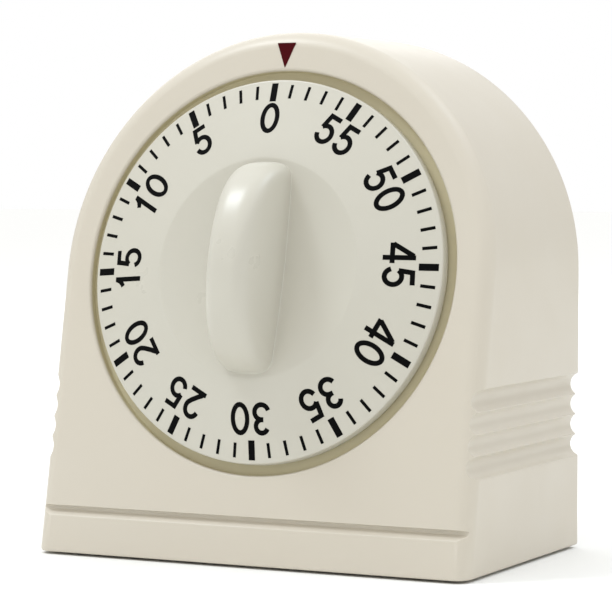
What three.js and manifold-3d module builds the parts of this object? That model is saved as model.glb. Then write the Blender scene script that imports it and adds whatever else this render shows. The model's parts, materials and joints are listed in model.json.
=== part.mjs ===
// Kitchen timer: a 60-minute wind-up timer in an arched moulded case, with its movement and bell.
// Millimetres, +Z up, the dial faces -Y. The origin lies on the table, under the middle of the timer.
import * as THREE from "three";
import { mergeVertices } from "three/addons/utils/BufferGeometryUtils.js";
import Module from "manifold-3d";

const wasm = await Module();
wasm.setup();

// ---------------------------------------------------------------- driving dimensions: the case
const CASE_WIDTH = 89.2; // also the width of the round top, which is a half circle
const CASE_DEPTH = 54.7; // from the base's front edge to the rear face
const CASE_HEIGHT = 98.2; // without the feet
const LEAN = THREE.MathUtils.degToRad(10.8); // the front leans back by this much
const WALL = 2.4;
const FRONT_EDGE_ROUND = 3;
const PAST = 20; // how far a cutting shape runs past what it cuts

const RIB_GROOVES = 4; // on each side
const RIB_GROOVE_RADIUS = 2.15;
const RIB_GROOVE_DEPTH = 1.7;
const RIB_GROOVE_PITCH = 3.87;
const RIB_GROOVE_TOP = 31.2; // height of the highest groove's middle

const BASE_GROOVE_TOP = 9; // measured up the leaning front
const BASE_GROOVE_HEIGHT = 2;
const BASE_GROOVE_DEPTH = 1.2;
const BASE_GROOVE_FLAT = 0.7; // the rest of the height slopes out to the lower lip

const FOOT_RADIUS = 4;
const FOOT_THICKNESS = 1.6;
const FOOT_PROUD = 0.5;
const FOOT_INSET = 9; // from the sides of the base to a foot's middle

// ---------------------------------------------------------------- driving dimensions: the dial
const DIAL_RADIUS = 36;
const DIAL_GAP = 2; // all round the dial, to the rim of its well
const DIAL_PROUD = 1.2; // at the dial's edge
const DIAL_RISE = 3.2; // from the edge up to the dish's rim: the printed face is a shallow cone
const DIAL_THICKNESS = 2.6;
const DIAL_EDGE_ROUND = 0.35;
const WELL_DEPTH = 1.9;
const DISH_RADIUS = 20.5;
const DISH_DEPTH = 1.3;
const GRIP_LENGTH = 39.4;
const GRIP_THICKNESS = 10.4;
const GRIP_HEIGHT = 14.5; // above the middle of the dish
const GRIP_ROUND = 4.6; // how far in from its rim the fin starts to round over
const GRIP_EDGE = 3; // what the rounding takes off each side; the rim is flat between
const GRIP_ROUND_STEPS = 4;
const DIAL_HUB_RADIUS = 5.5;
const DIAL_HUB_PAST = 0.7; // how far the hub reaches behind the dial's well
const POINTER_WIDTH = 3.9;
const POINTER_HEIGHT = 4.8;
const POINTER_GAP = 0.5; // from the well's rim to the pointer's tip
const POINTER_THICKNESS = 0.2;

// ---------------------------------------------------------------- driving dimensions: the movement
const SHAFT_RADIUS = 2.2;
const SHAFT_INTO_GRIP = 6.5;
const ARBOR_RADIUS = 0.8;
const PIVOT_RADIUS = 0.5;
const PIVOT_PROUD = 0.4; // past the plate's outer face
const PLATE_THICKNESS = 1;
const PLATE_SPACING = 16; // between the plates' inner faces
const PLATE_MARGIN = 4.2; // from a pillar's middle to the plate's edge
const PLATE_CORNER_CUT = 3;
const PLATE_SHOULDER = 8; // how much more the two top corners are cut back
const PILLAR_RADIUS = 2;
const PILLAR_STEM_RADIUS = 1.1;
const PILLAR_NUT_RADIUS = 2.4;
const PILLAR_NUT_THICKNESS = 1.5;
const BOSS_RADIUS = 3.2;
const BOSS_HEIGHT = 2.2;
const LUG_RADIUS = 4;
const SCREW_RADIUS = 1.3;
const SCREW_HEAD_RADIUS = 2.6;
const SCREW_HEAD_HEIGHT = 1.3;
const MOVEMENT_SCREW_LENGTH = 3.6;
const COVER_SCREW_LENGTH = 8;

const PINION_TEETH = 8;
const GREAT = { teeth: 64, module: 0.5 };
const SECOND = { teeth: 60, module: 0.45 };
const THIRD = { teeth: 56, module: 0.4 };
const ESCAPE_TEETH = 15;
const ESCAPE_RADIUS = 6;
const SECOND_BEARING = -40; // degrees, seen from the front: from the dial's shaft to the second arbor
const THIRD_BEARING = 205; // from the second arbor to the third
const ESCAPE_BEARING = 170; // from the third arbor to the escape arbor
const PALLET_BEARING = 150; // from the escape arbor to the pallet arbor
const BALANCE_BEARING = 120; // from the pallet arbor to the balance staff
const PALLET_DISTANCE = 8.2;
const BALANCE_DISTANCE = 9.6;
const PALLET_EYE_RADIUS = 1.7;
const PALLET_ARM_WIDTH = 0.8;
const PALLET_PIN_RADIUS = 0.25;
const PALLET_PIN_SEAT_RADIUS = 0.55; // the arm's round end, round each pin
const PALLET_PIN_SPREAD = 30; // degrees each side of the line from escape arbor to pallet arbor
const PALLET_PIN_CLEARANCE = 0.25; // from the wheel's tips, with the lever in mid swing
const BALANCE_RADIUS = 7.4;
const BALANCE_RIM = 1.3;
const BALANCE_THICKNESS = 1.4;
const BALANCE_HUB_RADIUS = 1.7;
const BALANCE_SPOKE_WIDTH = 1.4;
const FORK_WIDTH = 1.6;
const FORK_LENGTH = 2.4;
const FORK_SLOT_DEPTH = 1.4;
const IMPULSE_RADIUS = 1.8; // from the staff to the impulse pin
const WHEEL_THICKNESS = 0.8;

const SPRING_WIDTH = 5;
const SPRING_STRIP = 0.45;
const SPRING_OUTER = 14;
const SPRING_TURNS = 5;
const HAIRSPRING_WIDTH = 0.5;
const HAIRSPRING_STRIP = 0.2;
const HAIRSPRING_OUTER = 4.4;
const HAIRSPRING_TURNS = 4;
const HAIRSPRING_END = 90; // degrees, where the outer end meets its stud
const HAIRSPRING_STUD_RADIUS = 0.7;
const RATCHET_TEETH = 20;
const RATCHET_RADIUS = 6;
const RATCHET_TOOTH = 0.8;
const GREAT_OPENING_RADIUS = 3;
const GREAT_OPENING_DISTANCE = 10; // from the shaft to an opening's middle
const CLIP_RADIUS = 4.2;
const CLIP_THICKNESS = 0.8;
const CLICK_DISTANCE = 11; // from the shaft to the click's rivet
const CLICK_RIVET_RADIUS = 0.9;
const CLICK_EYE_RADIUS = 2;
const CLICK_ARM_WIDTH = 1.1;
const CAM_RADIUS = 7;
const CAM_NOTCH_DEPTH = 1.5;
const CAM_NOTCH_WIDTH = 4.4; // the nose stays in it through the last minute
const STAR_TEETH = 8;
const STAR_RADIUS = 4;

const BELL_RADIUS = 21;
const BELL_HEIGHT = 9;
const BELL_WALL = 1;
const BELL_STANDOFF = 2.6; // from the rear plate to the bell's mouth
const BELL_BELOW_SHAFT = 8;
const BELL_ACROSS = -2;
const BELL_POST_RADIUS = 2.4;
const BELL_SEAT_RADIUS = 6; // the bell's flat crown
const BELL_NUT_RADIUS = 3.2;
const BELL_NUT_THICKNESS = 1.6;
const HAMMER_HEAD_RADIUS = 2.8;
const HAMMER_HEAD_HEIGHT = 3.6;
const HAMMER_STUD_RADIUS = 1.2;
const HAMMER_EYE_RADIUS = 2.4;
const HAMMER_ARM_WIDTH = 1.6;
const HAMMER_ARM_THICKNESS = 1.2;
const HAMMER_TAIL_WIDTH = 1.4;
const HAMMER_PIN_RADIUS = 0.45;
const HAMMER_NECK_RADIUS = 1;
const DETENT_EYE_RADIUS = 2.2;
const DETENT_BEAK_WIDTH = 1.4;
const DETENT_ARM_WIDTH = 1.2; // the arm that catches the hammer's tail
const STRIKE_GAP = 2.6; // from the resting hammer to the inside of the bell's mouth

const COVER_THICKNESS = 2;
const COVER_POST_RADIUS = 3.4;
const COVER_POST_OVERLAP = 0.7; // how far a post runs into the wall beside it
const SOUND_SLOTS = 7;
const SOUND_SLOT_HEIGHT = 2.2;
const SOUND_SLOT_PITCH = 4.4;
const SOUND_FIELD_RADIUS = 17;

// ---------------------------------------------------------------- fits
const SLIP = 0.06; // a piece pressed or slipped on a shaft
const RUN = 0.1; // a turning pivot in its hole
const SEAT = 0.05; // between faces that rest on each other
const COVER_GAP = 0.25; // round the rear cover
const CLEAR = 0.3; // between neighbours that pass each other
const SHORT_PIN = 0.25; // the impulse pin stops this far short of the lever's fork

// ---------------------------------------------------------------- finishes
const finish = (color, roughness, metalness) => ({ color, roughness, metalness });
const CREAM = finish(0xe9e4d6, 0.42, 0);
const DIAL_CREAM = finish(0xeeeade, 0.38, 0);
const MAROON = finish(0x5c0a10, 0.5, 0);
const RUBBER = finish(0x2c2c2c, 0.9, 0);
const BRASS = finish(0xb98d3e, 0.35, 1);
const STEEL = finish(0x9a9da1, 0.3, 1);
const ZINC = finish(0xc3c6ca, 0.35, 1);
const BLUE_STEEL = finish(0x35405c, 0.3, 1);
const BELL_NICKEL = finish(0xd2d3cf, 0.18, 1);

// ---------------------------------------------------------------- solids
const ALONG_X = new THREE.Matrix4().makeBasis(
  new THREE.Vector3(0, 1, 0),
  new THREE.Vector3(0, 0, 1),
  new THREE.Vector3(1, 0, 0),
);
const ALONG_Y = new THREE.Matrix4().makeBasis(
  new THREE.Vector3(1, 0, 0),
  new THREE.Vector3(0, 0, 1),
  new THREE.Vector3(0, -1, 0),
);

// Turns a closed three.js geometry into a solid; a profile may run either way round.
function solid(geometry) {
  const bare = geometry.clone();
  bare.deleteAttribute("normal");
  bare.deleteAttribute("uv");
  const merged = mergeVertices(bare, 1e-4);
  const corners = [];
  for (let i = 0; i < merged.index.count; i += 3) {
    const [a, b, c] = [0, 1, 2].map((k) => merged.index.getX(i + k));
    if (a !== b && b !== c && c !== a) corners.push(a, b, c);
  }
  const build = (list) =>
    new wasm.Manifold(
      new wasm.Mesh({
        numProp: 3,
        vertProperties: merged.attributes.position.array,
        triVerts: new Uint32Array(list),
      }),
    );
  const made = build(corners);
  return made.volume() > 0 ? made : build(corners.reverse());
}

function joined(...solids) {
  return solids.reduce((whole, part) => whole.add(part));
}

// A slab of a flat outline between two levels of Z, with an optional rounded edge on both faces.
function slab(outline, low, high, round = 0, roundSteps = 3, curveSegments = 12) {
  const geometry = new THREE.ExtrudeGeometry(outline, {
    depth: high - low - 2 * round,
    bevelEnabled: round > 0,
    bevelThickness: round,
    bevelSize: round,
    bevelOffset: -round,
    bevelSegments: roundSteps,
    curveSegments,
  });
  return geometry.translate(0, 0, low + round);
}

function polygon(points) {
  return new THREE.Shape(points.map(([x, y]) => new THREE.Vector2(x, y)));
}

// A round bar on the Z axis through `at`, between two levels of Z.
function rod(at, radius, low, high, sides = 16) {
  const geometry = new THREE.CylinderGeometry(radius, radius, high - low, sides);
  return solid(geometry.rotateX(Math.PI / 2).translate(at.x, at.y, (low + high) / 2));
}

// A hole for a round bar: its flats, not its corners, clear the bar by the given gap.
function hole(at, barRadius, gap, low, high, sides = 16) {
  const radius = (barRadius + gap) / Math.cos(Math.PI / sides);
  return rod(at, radius, low, high, sides);
}

// A flat bar of a given width from one point to another.
function bar(from, to, width, low, high) {
  const reach = new THREE.Vector2().subVectors(to, from);
  const geometry = new THREE.BoxGeometry(reach.length(), width, high - low);
  geometry.translate(reach.length() / 2, 0, (low + high) / 2);
  geometry.rotateZ(reach.angle()).translate(from.x, from.y, 0);
  return solid(geometry);
}

function block(low, high) {
  const size = new THREE.Vector3().subVectors(high, low);
  const middle = new THREE.Vector3().addVectors(low, high).divideScalar(2);
  const geometry = new THREE.BoxGeometry(size.x, size.y, size.z);
  return solid(geometry.translate(middle.x, middle.y, middle.z));
}

// A turned shape: pairs of radius and Z, spun round the Z axis through `at`.
function turned(at, profile, sides = 24) {
  const points = profile.map(([radius, z]) => new THREE.Vector2(radius, z));
  const geometry = new THREE.LatheGeometry(points, sides);
  return solid(geometry.rotateX(Math.PI / 2).translate(at.x, at.y, 0));
}

function geometryOf(shape) {
  const mesh = shape.getMesh();
  const geometry = new THREE.BufferGeometry();
  geometry.setAttribute("position", new THREE.BufferAttribute(mesh.vertProperties, 3));
  geometry.setIndex(new THREE.BufferAttribute(mesh.triVerts, 1));
  return geometry;
}

function piece(group, name, shape, look) {
  const geometry = geometryOf(shape);
  geometry.computeVertexNormals();
  const mesh = new THREE.Mesh(geometry, new THREE.MeshStandardMaterial(look));
  mesh.name = name;
  group.add(mesh);
}

// ---------------------------------------------------------------- toothed outlines
// Teeth with straight flanks; widths are shares of the tooth pitch at the tip and at the root.
function toothedOutline(teeth, tipRadius, rootRadius, tipShare, rootShare, facing) {
  const pitch = (2 * Math.PI) / teeth;
  const points = [];
  for (let k = 0; k < teeth; k++) {
    const middle = facing + k * pitch;
    const corners = [
      [rootRadius, -rootShare],
      [tipRadius, -tipShare],
      [tipRadius, tipShare],
      [rootRadius, rootShare],
    ];
    for (const [radius, share] of corners) {
      const angle = middle + (share * pitch) / 2;
      points.push([radius * Math.cos(angle), radius * Math.sin(angle)]);
    }
  }
  return polygon(points);
}

const ADDENDUM = 0.85; // tooth heights, in modules
const DEDENDUM = 1.25;

// A wheel with a tooth pointing along `facing`, and a pinion with a gap there.
function wheelOutline({ teeth, module }, facing) {
  const radius = (teeth * module) / 2;
  const [tip, root] = [radius + ADDENDUM * module, radius - DEDENDUM * module];
  return toothedOutline(teeth, tip, root, 0.16, 0.44, facing);
}

function pinionOutline(module, facing) {
  const radius = (PINION_TEETH * module) / 2;
  const [tip, root] = [radius + ADDENDUM * module * 0.9, radius - DEDENDUM * module];
  const gapFacing = facing + Math.PI / PINION_TEETH;
  return toothedOutline(PINION_TEETH, tip, root, 0.18, 0.5, gapFacing);
}

function wheelRadius({ teeth, module }) {
  return (teeth * module) / 2 + ADDENDUM * module;
}

function centreDistance({ teeth, module }) {
  return ((teeth + PINION_TEETH) * module) / 2;
}

// A flat strip wound in a spiral between two radii.
function spiralOutline(innerRadius, outerRadius, turns, strip, startAngle, stepsPerTurn) {
  const steps = Math.round(turns * stepsPerTurn);
  const edge = (offset, k) => {
    const radius = innerRadius + ((outerRadius - innerRadius) * k) / steps + offset;
    const angle = startAngle + (turns * 2 * Math.PI * k) / steps;
    return [radius * Math.cos(angle), radius * Math.sin(angle)];
  };
  const outer = Array.from({ length: steps + 1 }, (_, k) => edge(strip / 2, k));
  const inner = Array.from({ length: steps + 1 }, (_, k) => edge(-strip / 2, k));
  return polygon([...outer, ...inner.reverse()]);
}

// ---------------------------------------------------------------- places
const ORIGIN = new THREE.Vector2(0, 0);

function away(from, distance, degrees) {
  const angle = THREE.MathUtils.degToRad(degrees);
  const reach = new THREE.Vector2(Math.cos(angle), Math.sin(angle));
  return reach.multiplyScalar(distance).add(from);
}

const bearing = (from, to) => Math.atan2(to.y - from.y, to.x - from.x);

const SECOND_AT = away(ORIGIN, centreDistance(GREAT), SECOND_BEARING);
const THIRD_AT = away(SECOND_AT, centreDistance(SECOND), THIRD_BEARING);
const ESCAPE_AT = away(THIRD_AT, centreDistance(THIRD), ESCAPE_BEARING);
const PALLET_AT = away(ESCAPE_AT, PALLET_DISTANCE, PALLET_BEARING);
const BALANCE_AT = away(PALLET_AT, BALANCE_DISTANCE, BALANCE_BEARING);
const BELL_AT = new THREE.Vector2(BELL_ACROSS, -BELL_BELOW_SHAFT);

// Levels on the dial's axis: zero at the case's front face, negative going in.
const WELL_FLOOR = -WELL_DEPTH;
const CUP_BACK = WELL_FLOOR - WALL;
const BOSS_END = CUP_BACK - BOSS_HEIGHT;
const FRONT_PLATE = BOSS_END - SEAT;
const INSIDE = FRONT_PLATE - PLATE_THICKNESS; // the front plate's inner face
const REAR_PLATE = INSIDE - PLATE_SPACING; // the rear plate's inner face
const OUTSIDE = REAR_PLATE - PLATE_THICKNESS; // the rear plate's outer face
const into = (distance) => INSIDE - distance; // a level so far behind the front plate

const SPRING_FRONT = into(0.6);
const RATCHET_FRONT = SPRING_FRONT - SPRING_WIDTH - 0.4;
const GREAT_FRONT = RATCHET_FRONT - WHEEL_THICKNESS - CLEAR;
const SECOND_FRONT = GREAT_FRONT - WHEEL_THICKNESS - 1.6;
const THIRD_FRONT = SECOND_FRONT - WHEEL_THICKNESS - 1.4;
const STRIKE_FRONT = THIRD_FRONT - WHEEL_THICKNESS - 0.8;
const LEVER_FRONT = SECOND_FRONT + WHEEL_THICKNESS + 0.6; // the pallet lever, before the escape wheel
const BALANCE_FRONT = into(2.6);
const HAIRSPRING_FRONT = BALANCE_FRONT - 2;

const COVER_FRONT = CASE_DEPTH - COVER_THICKNESS; // the rear cover's inner face

// The dial's centre is the centre of the case's round top, on the leaning front face.
const DIAL_HEIGHT = CASE_HEIGHT - CASE_WIDTH / 2;
const dialFrame = new THREE.Matrix4()
  .makeRotationX(Math.PI / 2 - LEAN)
  .setPosition(0, DIAL_HEIGHT * Math.tan(LEAN), DIAL_HEIGHT);
const onDialAxis = (shape) => solid(geometryOf(shape).applyMatrix4(dialFrame));

const LUGS = [new THREE.Vector2(-26, 22), new THREE.Vector2(22, 20), new THREE.Vector2(-2, -37)];
const LEFT_EDGE = BALANCE_AT.x - BALANCE_RADIUS - 1.6;
const RIGHT_EDGE = SECOND_AT.x + wheelRadius(SECOND) + 1.6;
const LOW_EDGE = THIRD_AT.y - wheelRadius(THIRD) - 3.6;
const TOP_EDGE = wheelRadius(GREAT) + 3.4;
const PILLARS = [
  new THREE.Vector2(LEFT_EDGE + PLATE_MARGIN, LOW_EDGE + PLATE_MARGIN),
  new THREE.Vector2(RIGHT_EDGE - PLATE_MARGIN, LOW_EDGE + PLATE_MARGIN),
  new THREE.Vector2(RIGHT_EDGE - PLATE_MARGIN, TOP_EDGE - PLATE_MARGIN - PLATE_SHOULDER),
  new THREE.Vector2(LEFT_EDGE + PLATE_MARGIN + PLATE_SHOULDER, TOP_EDGE - PLATE_MARGIN),
];

// ---------------------------------------------------------------- the case
function archOutline(halfWidth, bottom, top) {
  const outline = new THREE.Shape();
  const springLine = top - halfWidth;
  outline.moveTo(-halfWidth, bottom);
  outline.lineTo(halfWidth, bottom);
  outline.lineTo(halfWidth, springLine);
  outline.absarc(0, springLine, halfWidth, 0, Math.PI, false);
  return outline;
}

// An upright outline pushed along Y from `front` to `back`, with its front end leaning back.
function leaningPrism(outline, front, back, round = 0) {
  const geometry = slab(outline, 0, back - front + PAST, round, 3, 18);
  geometry.applyMatrix4(ALONG_Y);
  geometry.translate(0, back + PAST, 0);
  geometry.applyMatrix4(new THREE.Matrix4().makeShear(0, 0, 0, 0, 0, Math.tan(LEAN)));
  return solid(geometry);
}

function caseBody() {
  const half = CASE_WIDTH / 2;
  const outline = archOutline(half, -PAST, CASE_HEIGHT);
  const room = block(
    new THREE.Vector3(-half - PAST, -PAST, 0),
    new THREE.Vector3(half + PAST, CASE_DEPTH, CASE_HEIGHT + PAST),
  );
  return leaningPrism(outline, 0, CASE_DEPTH, FRONT_EDGE_ROUND).intersect(room);
}

function ribGroove(side, row) {
  const x = side * (CASE_WIDTH / 2 + RIB_GROOVE_RADIUS - RIB_GROOVE_DEPTH);
  const geometry = new THREE.CylinderGeometry(
    RIB_GROOVE_RADIUS,
    RIB_GROOVE_RADIUS,
    CASE_DEPTH + 2 * PAST,
    14,
  );
  return solid(geometry.translate(x, CASE_DEPTH / 2, RIB_GROOVE_TOP - row * RIB_GROOVE_PITCH));
}

// The wall behind the side grooves is thicker on the inside, so the grooves don't thin it.
function groovePad(side) {
  const outer = CASE_WIDTH / 2 - WALL / 2;
  const inner = CASE_WIDTH / 2 - WALL - RIB_GROOVE_DEPTH;
  const reach = RIB_GROOVE_RADIUS + WALL;
  const low = RIB_GROOVE_TOP - (RIB_GROOVES - 1) * RIB_GROOVE_PITCH - reach;
  return block(
    new THREE.Vector3(side > 0 ? inner : -outer, 0, low),
    new THREE.Vector3(side > 0 ? outer : -inner, COVER_FRONT - SEAT, RIB_GROOVE_TOP + reach),
  );
}

function baseGroove() {
  const low = BASE_GROOVE_TOP - BASE_GROOVE_HEIGHT;
  const outline = polygon([
    [BASE_GROOVE_TOP, PAST],
    [BASE_GROOVE_TOP, -BASE_GROOVE_DEPTH],
    [BASE_GROOVE_TOP - BASE_GROOVE_FLAT, -BASE_GROOVE_DEPTH],
    [low, 0],
    [low, PAST],
  ]);
  const cut = slab(outline, -CASE_WIDTH / 2 - PAST, CASE_WIDTH / 2 + PAST);
  cut.applyMatrix4(ALONG_X);
  return solid(cut.applyMatrix4(new THREE.Matrix4().makeRotationX(Math.PI / 2 - LEAN)));
}

// Screw posts stand against the walls: two by the floor, two under the round top.
function coverPosts() {
  const reach = CASE_WIDTH / 2 - WALL - COVER_POST_RADIUS + COVER_POST_OVERLAP;
  const low = WALL + COVER_POST_RADIUS - COVER_POST_OVERLAP;
  const high = DIAL_HEIGHT + reach * Math.SQRT1_2;
  const across = reach * Math.SQRT1_2;
  return [
    [-reach, low],
    [reach, low],
    [-across, high],
    [across, high],
  ].map(([x, z]) => new THREE.Vector3(x, COVER_FRONT - SEAT, z));
}

// A round bar along Y that ends at `back`.
function bodyAlongY(x, z, radius, length, back, sides = 16) {
  const geometry = new THREE.CylinderGeometry(radius, radius, length, sides);
  return solid(geometry.translate(x, back - length / 2, z));
}

function feetPlaces() {
  const across = CASE_WIDTH / 2 - FOOT_INSET;
  return [
    [-across, FOOT_INSET],
    [across, FOOT_INSET],
    [-across, CASE_DEPTH - FOOT_INSET],
    [across, CASE_DEPTH - FOOT_INSET],
  ].map(([x, y]) => new THREE.Vector2(x, y));
}

function housing() {
  const half = CASE_WIDTH / 2;
  const whole = caseBody();
  const room = leaningPrism(archOutline(half - WALL, WALL, CASE_HEIGHT - WALL), 0, CASE_DEPTH + PAST);
  const wellRadius = DIAL_RADIUS + DIAL_GAP;
  let shell = whole.subtract(room.translate([0, WALL / Math.cos(LEAN), 0]));

  const cup = onDialAxis(rod(ORIGIN, wellRadius + WALL, CUP_BACK, -WALL / 2, 44));
  const bosses = LUGS.map((at) => onDialAxis(rod(at, BOSS_RADIUS, BOSS_END, CUP_BACK + SEAT, 12)));
  const posts = coverPosts().map((at) =>
    bodyAlongY(at.x, at.z, COVER_POST_RADIUS, CASE_DEPTH, at.y, 12).intersect(whole),
  );
  shell = joined(shell, cup.intersect(whole), ...bosses, ...posts);
  shell = joined(shell, groovePad(1).intersect(whole), groovePad(-1).intersect(whole));

  const cuts = [
    onDialAxis(rod(ORIGIN, wellRadius, WELL_FLOOR, PAST, 64)),
    onDialAxis(hole(ORIGIN, DIAL_HUB_RADIUS, 4 * RUN, -PAST, PAST, 24)),
    baseGroove(),
  ];
  for (const at of LUGS) {
    const low = BOSS_END - 1;
    cuts.push(onDialAxis(hole(at, SCREW_RADIUS, SLIP, low, WELL_FLOOR - WALL / 3, 12)));
  }
  for (const at of coverPosts()) {
    const radius = SCREW_RADIUS + SLIP + 0.05;
    cuts.push(bodyAlongY(at.x, at.z, radius, COVER_SCREW_LENGTH + 1, at.y + SEAT, 12));
  }
  for (const side of [-1, 1]) {
    for (let row = 0; row < RIB_GROOVES; row++) cuts.push(ribGroove(side, row));
  }
  for (const at of feetPlaces()) {
    const top = FOOT_THICKNESS - FOOT_PROUD + SEAT;
    cuts.push(rod(at, FOOT_RADIUS + SLIP, -PAST, top, 16));
  }
  return cuts.reduce((left, cut) => left.subtract(cut), shell);
}

function rearCover() {
  const gap = WALL + COVER_GAP;
  const outline = archOutline(CASE_WIDTH / 2 - gap, gap, CASE_HEIGHT - gap);
  const plate = slab(outline, 0, COVER_THICKNESS, 0, 3, 18).applyMatrix4(ALONG_Y);
  let cover = solid(plate.translate(0, CASE_DEPTH, 0));
  const middle = DIAL_HEIGHT - BELL_BELOW_SHAFT;
  for (let k = 0; k < SOUND_SLOTS; k++) {
    const rise = (k - (SOUND_SLOTS - 1) / 2) * SOUND_SLOT_PITCH;
    const half = Math.sqrt(SOUND_FIELD_RADIUS ** 2 - rise ** 2);
    cover = cover.subtract(
      block(
        new THREE.Vector3(-half, CASE_DEPTH - PAST, middle + rise - SOUND_SLOT_HEIGHT / 2),
        new THREE.Vector3(half, CASE_DEPTH + PAST, middle + rise + SOUND_SLOT_HEIGHT / 2),
      ),
    );
  }
  for (const at of coverPosts()) {
    const shank = SCREW_RADIUS + CLEAR;
    cover = cover.subtract(bodyAlongY(at.x, at.z, shank, PAST, CASE_DEPTH + PAST / 2));
    const sink = SCREW_HEAD_RADIUS + CLEAR;
    const depth = SCREW_HEAD_HEIGHT + 0.1;
    cover = cover.subtract(bodyAlongY(at.x, at.z, sink, depth + PAST, CASE_DEPTH + PAST, 20));
  }
  return cover;
}

// A pan-head screw on the Z axis: the head's top at `top`, a cross recess in it.
function screw(at, top, length) {
  const underside = top - SCREW_HEAD_HEIGHT;
  const head = rod(at, SCREW_HEAD_RADIUS, underside, top, 16);
  const shank = rod(at, SCREW_RADIUS, underside - length, underside + SEAT, 12);
  const reach = SCREW_HEAD_RADIUS * 0.6;
  const recess = [0, 90].map((turn) =>
    bar(away(at, -reach, turn), away(at, reach, turn), 0.6, top - SCREW_HEAD_HEIGHT / 2, top + 1),
  );
  return recess.reduce((left, cut) => left.subtract(cut), joined(head, shank));
}

function addCase(group) {
  piece(group, "housing", housing(), CREAM);
  piece(group, "rear_cover", rearCover(), CREAM);
  coverPosts().forEach((at, k) => {
    const upright = geometryOf(screw(ORIGIN, 0, COVER_SCREW_LENGTH)).rotateX(-Math.PI / 2);
    const sunk = CASE_DEPTH - 0.1 + SEAT;
    piece(group, `cover_screw_${k + 1}`, solid(upright.translate(at.x, sunk, at.z)), ZINC);
  });
  feetPlaces().forEach((at, k) => {
    const top = FOOT_THICKNESS - FOOT_PROUD;
    piece(group, `foot_${k + 1}`, rod(at, FOOT_RADIUS, -FOOT_PROUD, top, 16), RUBBER);
  });
}

// ---------------------------------------------------------------- the dial and its grip
// The fin is the upper half of a flattened disc that stands on edge: a flat rim with round edges.
function gripFin() {
  const half = GRIP_LENGTH / 2;
  const side = GRIP_THICKNESS / 2;
  const profile = [[0, -side]];
  for (const way of [-1, 1]) {
    for (let k = 0; k <= GRIP_ROUND_STEPS; k++) {
      const share = (way < 0 ? k : GRIP_ROUND_STEPS - k) / GRIP_ROUND_STEPS;
      const angle = (share * Math.PI) / 2;
      const reach = half - GRIP_ROUND * (1 - Math.sin(angle));
      profile.push([reach, way * (side - GRIP_EDGE * (1 - Math.cos(angle)))]);
    }
  }
  profile.push([0, side]);
  const disc = geometryOf(turned(ORIGIN, profile, 44)).applyMatrix4(ALONG_X);
  const foot = DIAL_PROUD + DIAL_RISE - DISH_DEPTH;
  return solid(disc.scale(1, 1, GRIP_HEIGHT / half).translate(0, 0, foot));
}

// A dish's section from its rim, which lies at the given level, in to the axis.
function dishSection(rim) {
  const steps = 4;
  return Array.from({ length: steps + 1 }, (_, k) => {
    const sunk = DISH_DEPTH * Math.sin(((k / steps) * Math.PI) / 2);
    return [DISH_RADIUS * (1 - k / steps), rim - sunk];
  });
}

// The disc is equally thick all over, so its back follows the cone and the dish of its face.
function dialKnob() {
  const back = DIAL_PROUD - DIAL_THICKNESS;
  const raisedBack = back + DIAL_RISE;
  const profile = [
    ...dishSection(raisedBack).reverse(),
    [DIAL_RADIUS - DIAL_THICKNESS, back],
    [DIAL_RADIUS - DIAL_EDGE_ROUND, back],
    [DIAL_RADIUS, back + DIAL_EDGE_ROUND],
    [DIAL_RADIUS, DIAL_PROUD - DIAL_EDGE_ROUND],
    [DIAL_RADIUS - DIAL_EDGE_ROUND, DIAL_PROUD],
    ...dishSection(DIAL_PROUD + DIAL_RISE),
  ];
  const disc = turned(ORIGIN, profile, 48);
  const insideDisc = raisedBack + DIAL_EDGE_ROUND;
  const below = [
    [0, -GRIP_LENGTH],
    [GRIP_LENGTH, -GRIP_LENGTH],
    [GRIP_LENGTH, insideDisc],
    ...dishSection(insideDisc),
  ];
  const finOnly = gripFin().subtract(turned(ORIGIN, below, 48));
  const hub = rod(ORIGIN, DIAL_HUB_RADIUS, CUP_BACK - DIAL_HUB_PAST, raisedBack, 20);
  const bore = hole(ORIGIN, SHAFT_RADIUS, SLIP, -PAST, SHAFT_INTO_GRIP + SEAT, 20);
  return joined(disc, finOnly, hub).subtract(bore);
}

function pointerMark() {
  const tip = DIAL_RADIUS + DIAL_GAP + POINTER_GAP;
  const outline = polygon([
    [0, tip],
    [POINTER_WIDTH / 2, tip + POINTER_HEIGHT],
    [-POINTER_WIDTH / 2, tip + POINTER_HEIGHT],
  ]);
  return solid(slab(outline, SEAT, SEAT + POINTER_THICKNESS));
}

// ---------------------------------------------------------------- the plates
function plateOutline() {
  const [left, right, low, top] = [LEFT_EDGE, RIGHT_EDGE, LOW_EDGE, TOP_EDGE];
  const cut = PLATE_CORNER_CUT;
  const shoulder = cut + PLATE_SHOULDER;
  return polygon([
    [left + cut, low],
    [right - cut, low],
    [right, low + cut],
    [right, top - shoulder],
    [right - shoulder, top],
    [left + shoulder, top],
    [left, top - shoulder],
    [left, low + cut],
  ]);
}

// A hole in a plate for each arbor that turns in both plates.
function pivotHoles(plate, low, high) {
  const places = [SECOND_AT, THIRD_AT, ESCAPE_AT, PALLET_AT, BALANCE_AT];
  return places.reduce(
    (left, at) => left.subtract(hole(at, PIVOT_RADIUS, RUN, low - 1, high + 1, 12)),
    plate,
  );
}

function stemHoles(plate, low, high) {
  return PILLARS.reduce(
    (left, at) => left.subtract(hole(at, PILLAR_STEM_RADIUS, SLIP, low - 1, high + 1, 12)),
    plate,
  );
}

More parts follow.
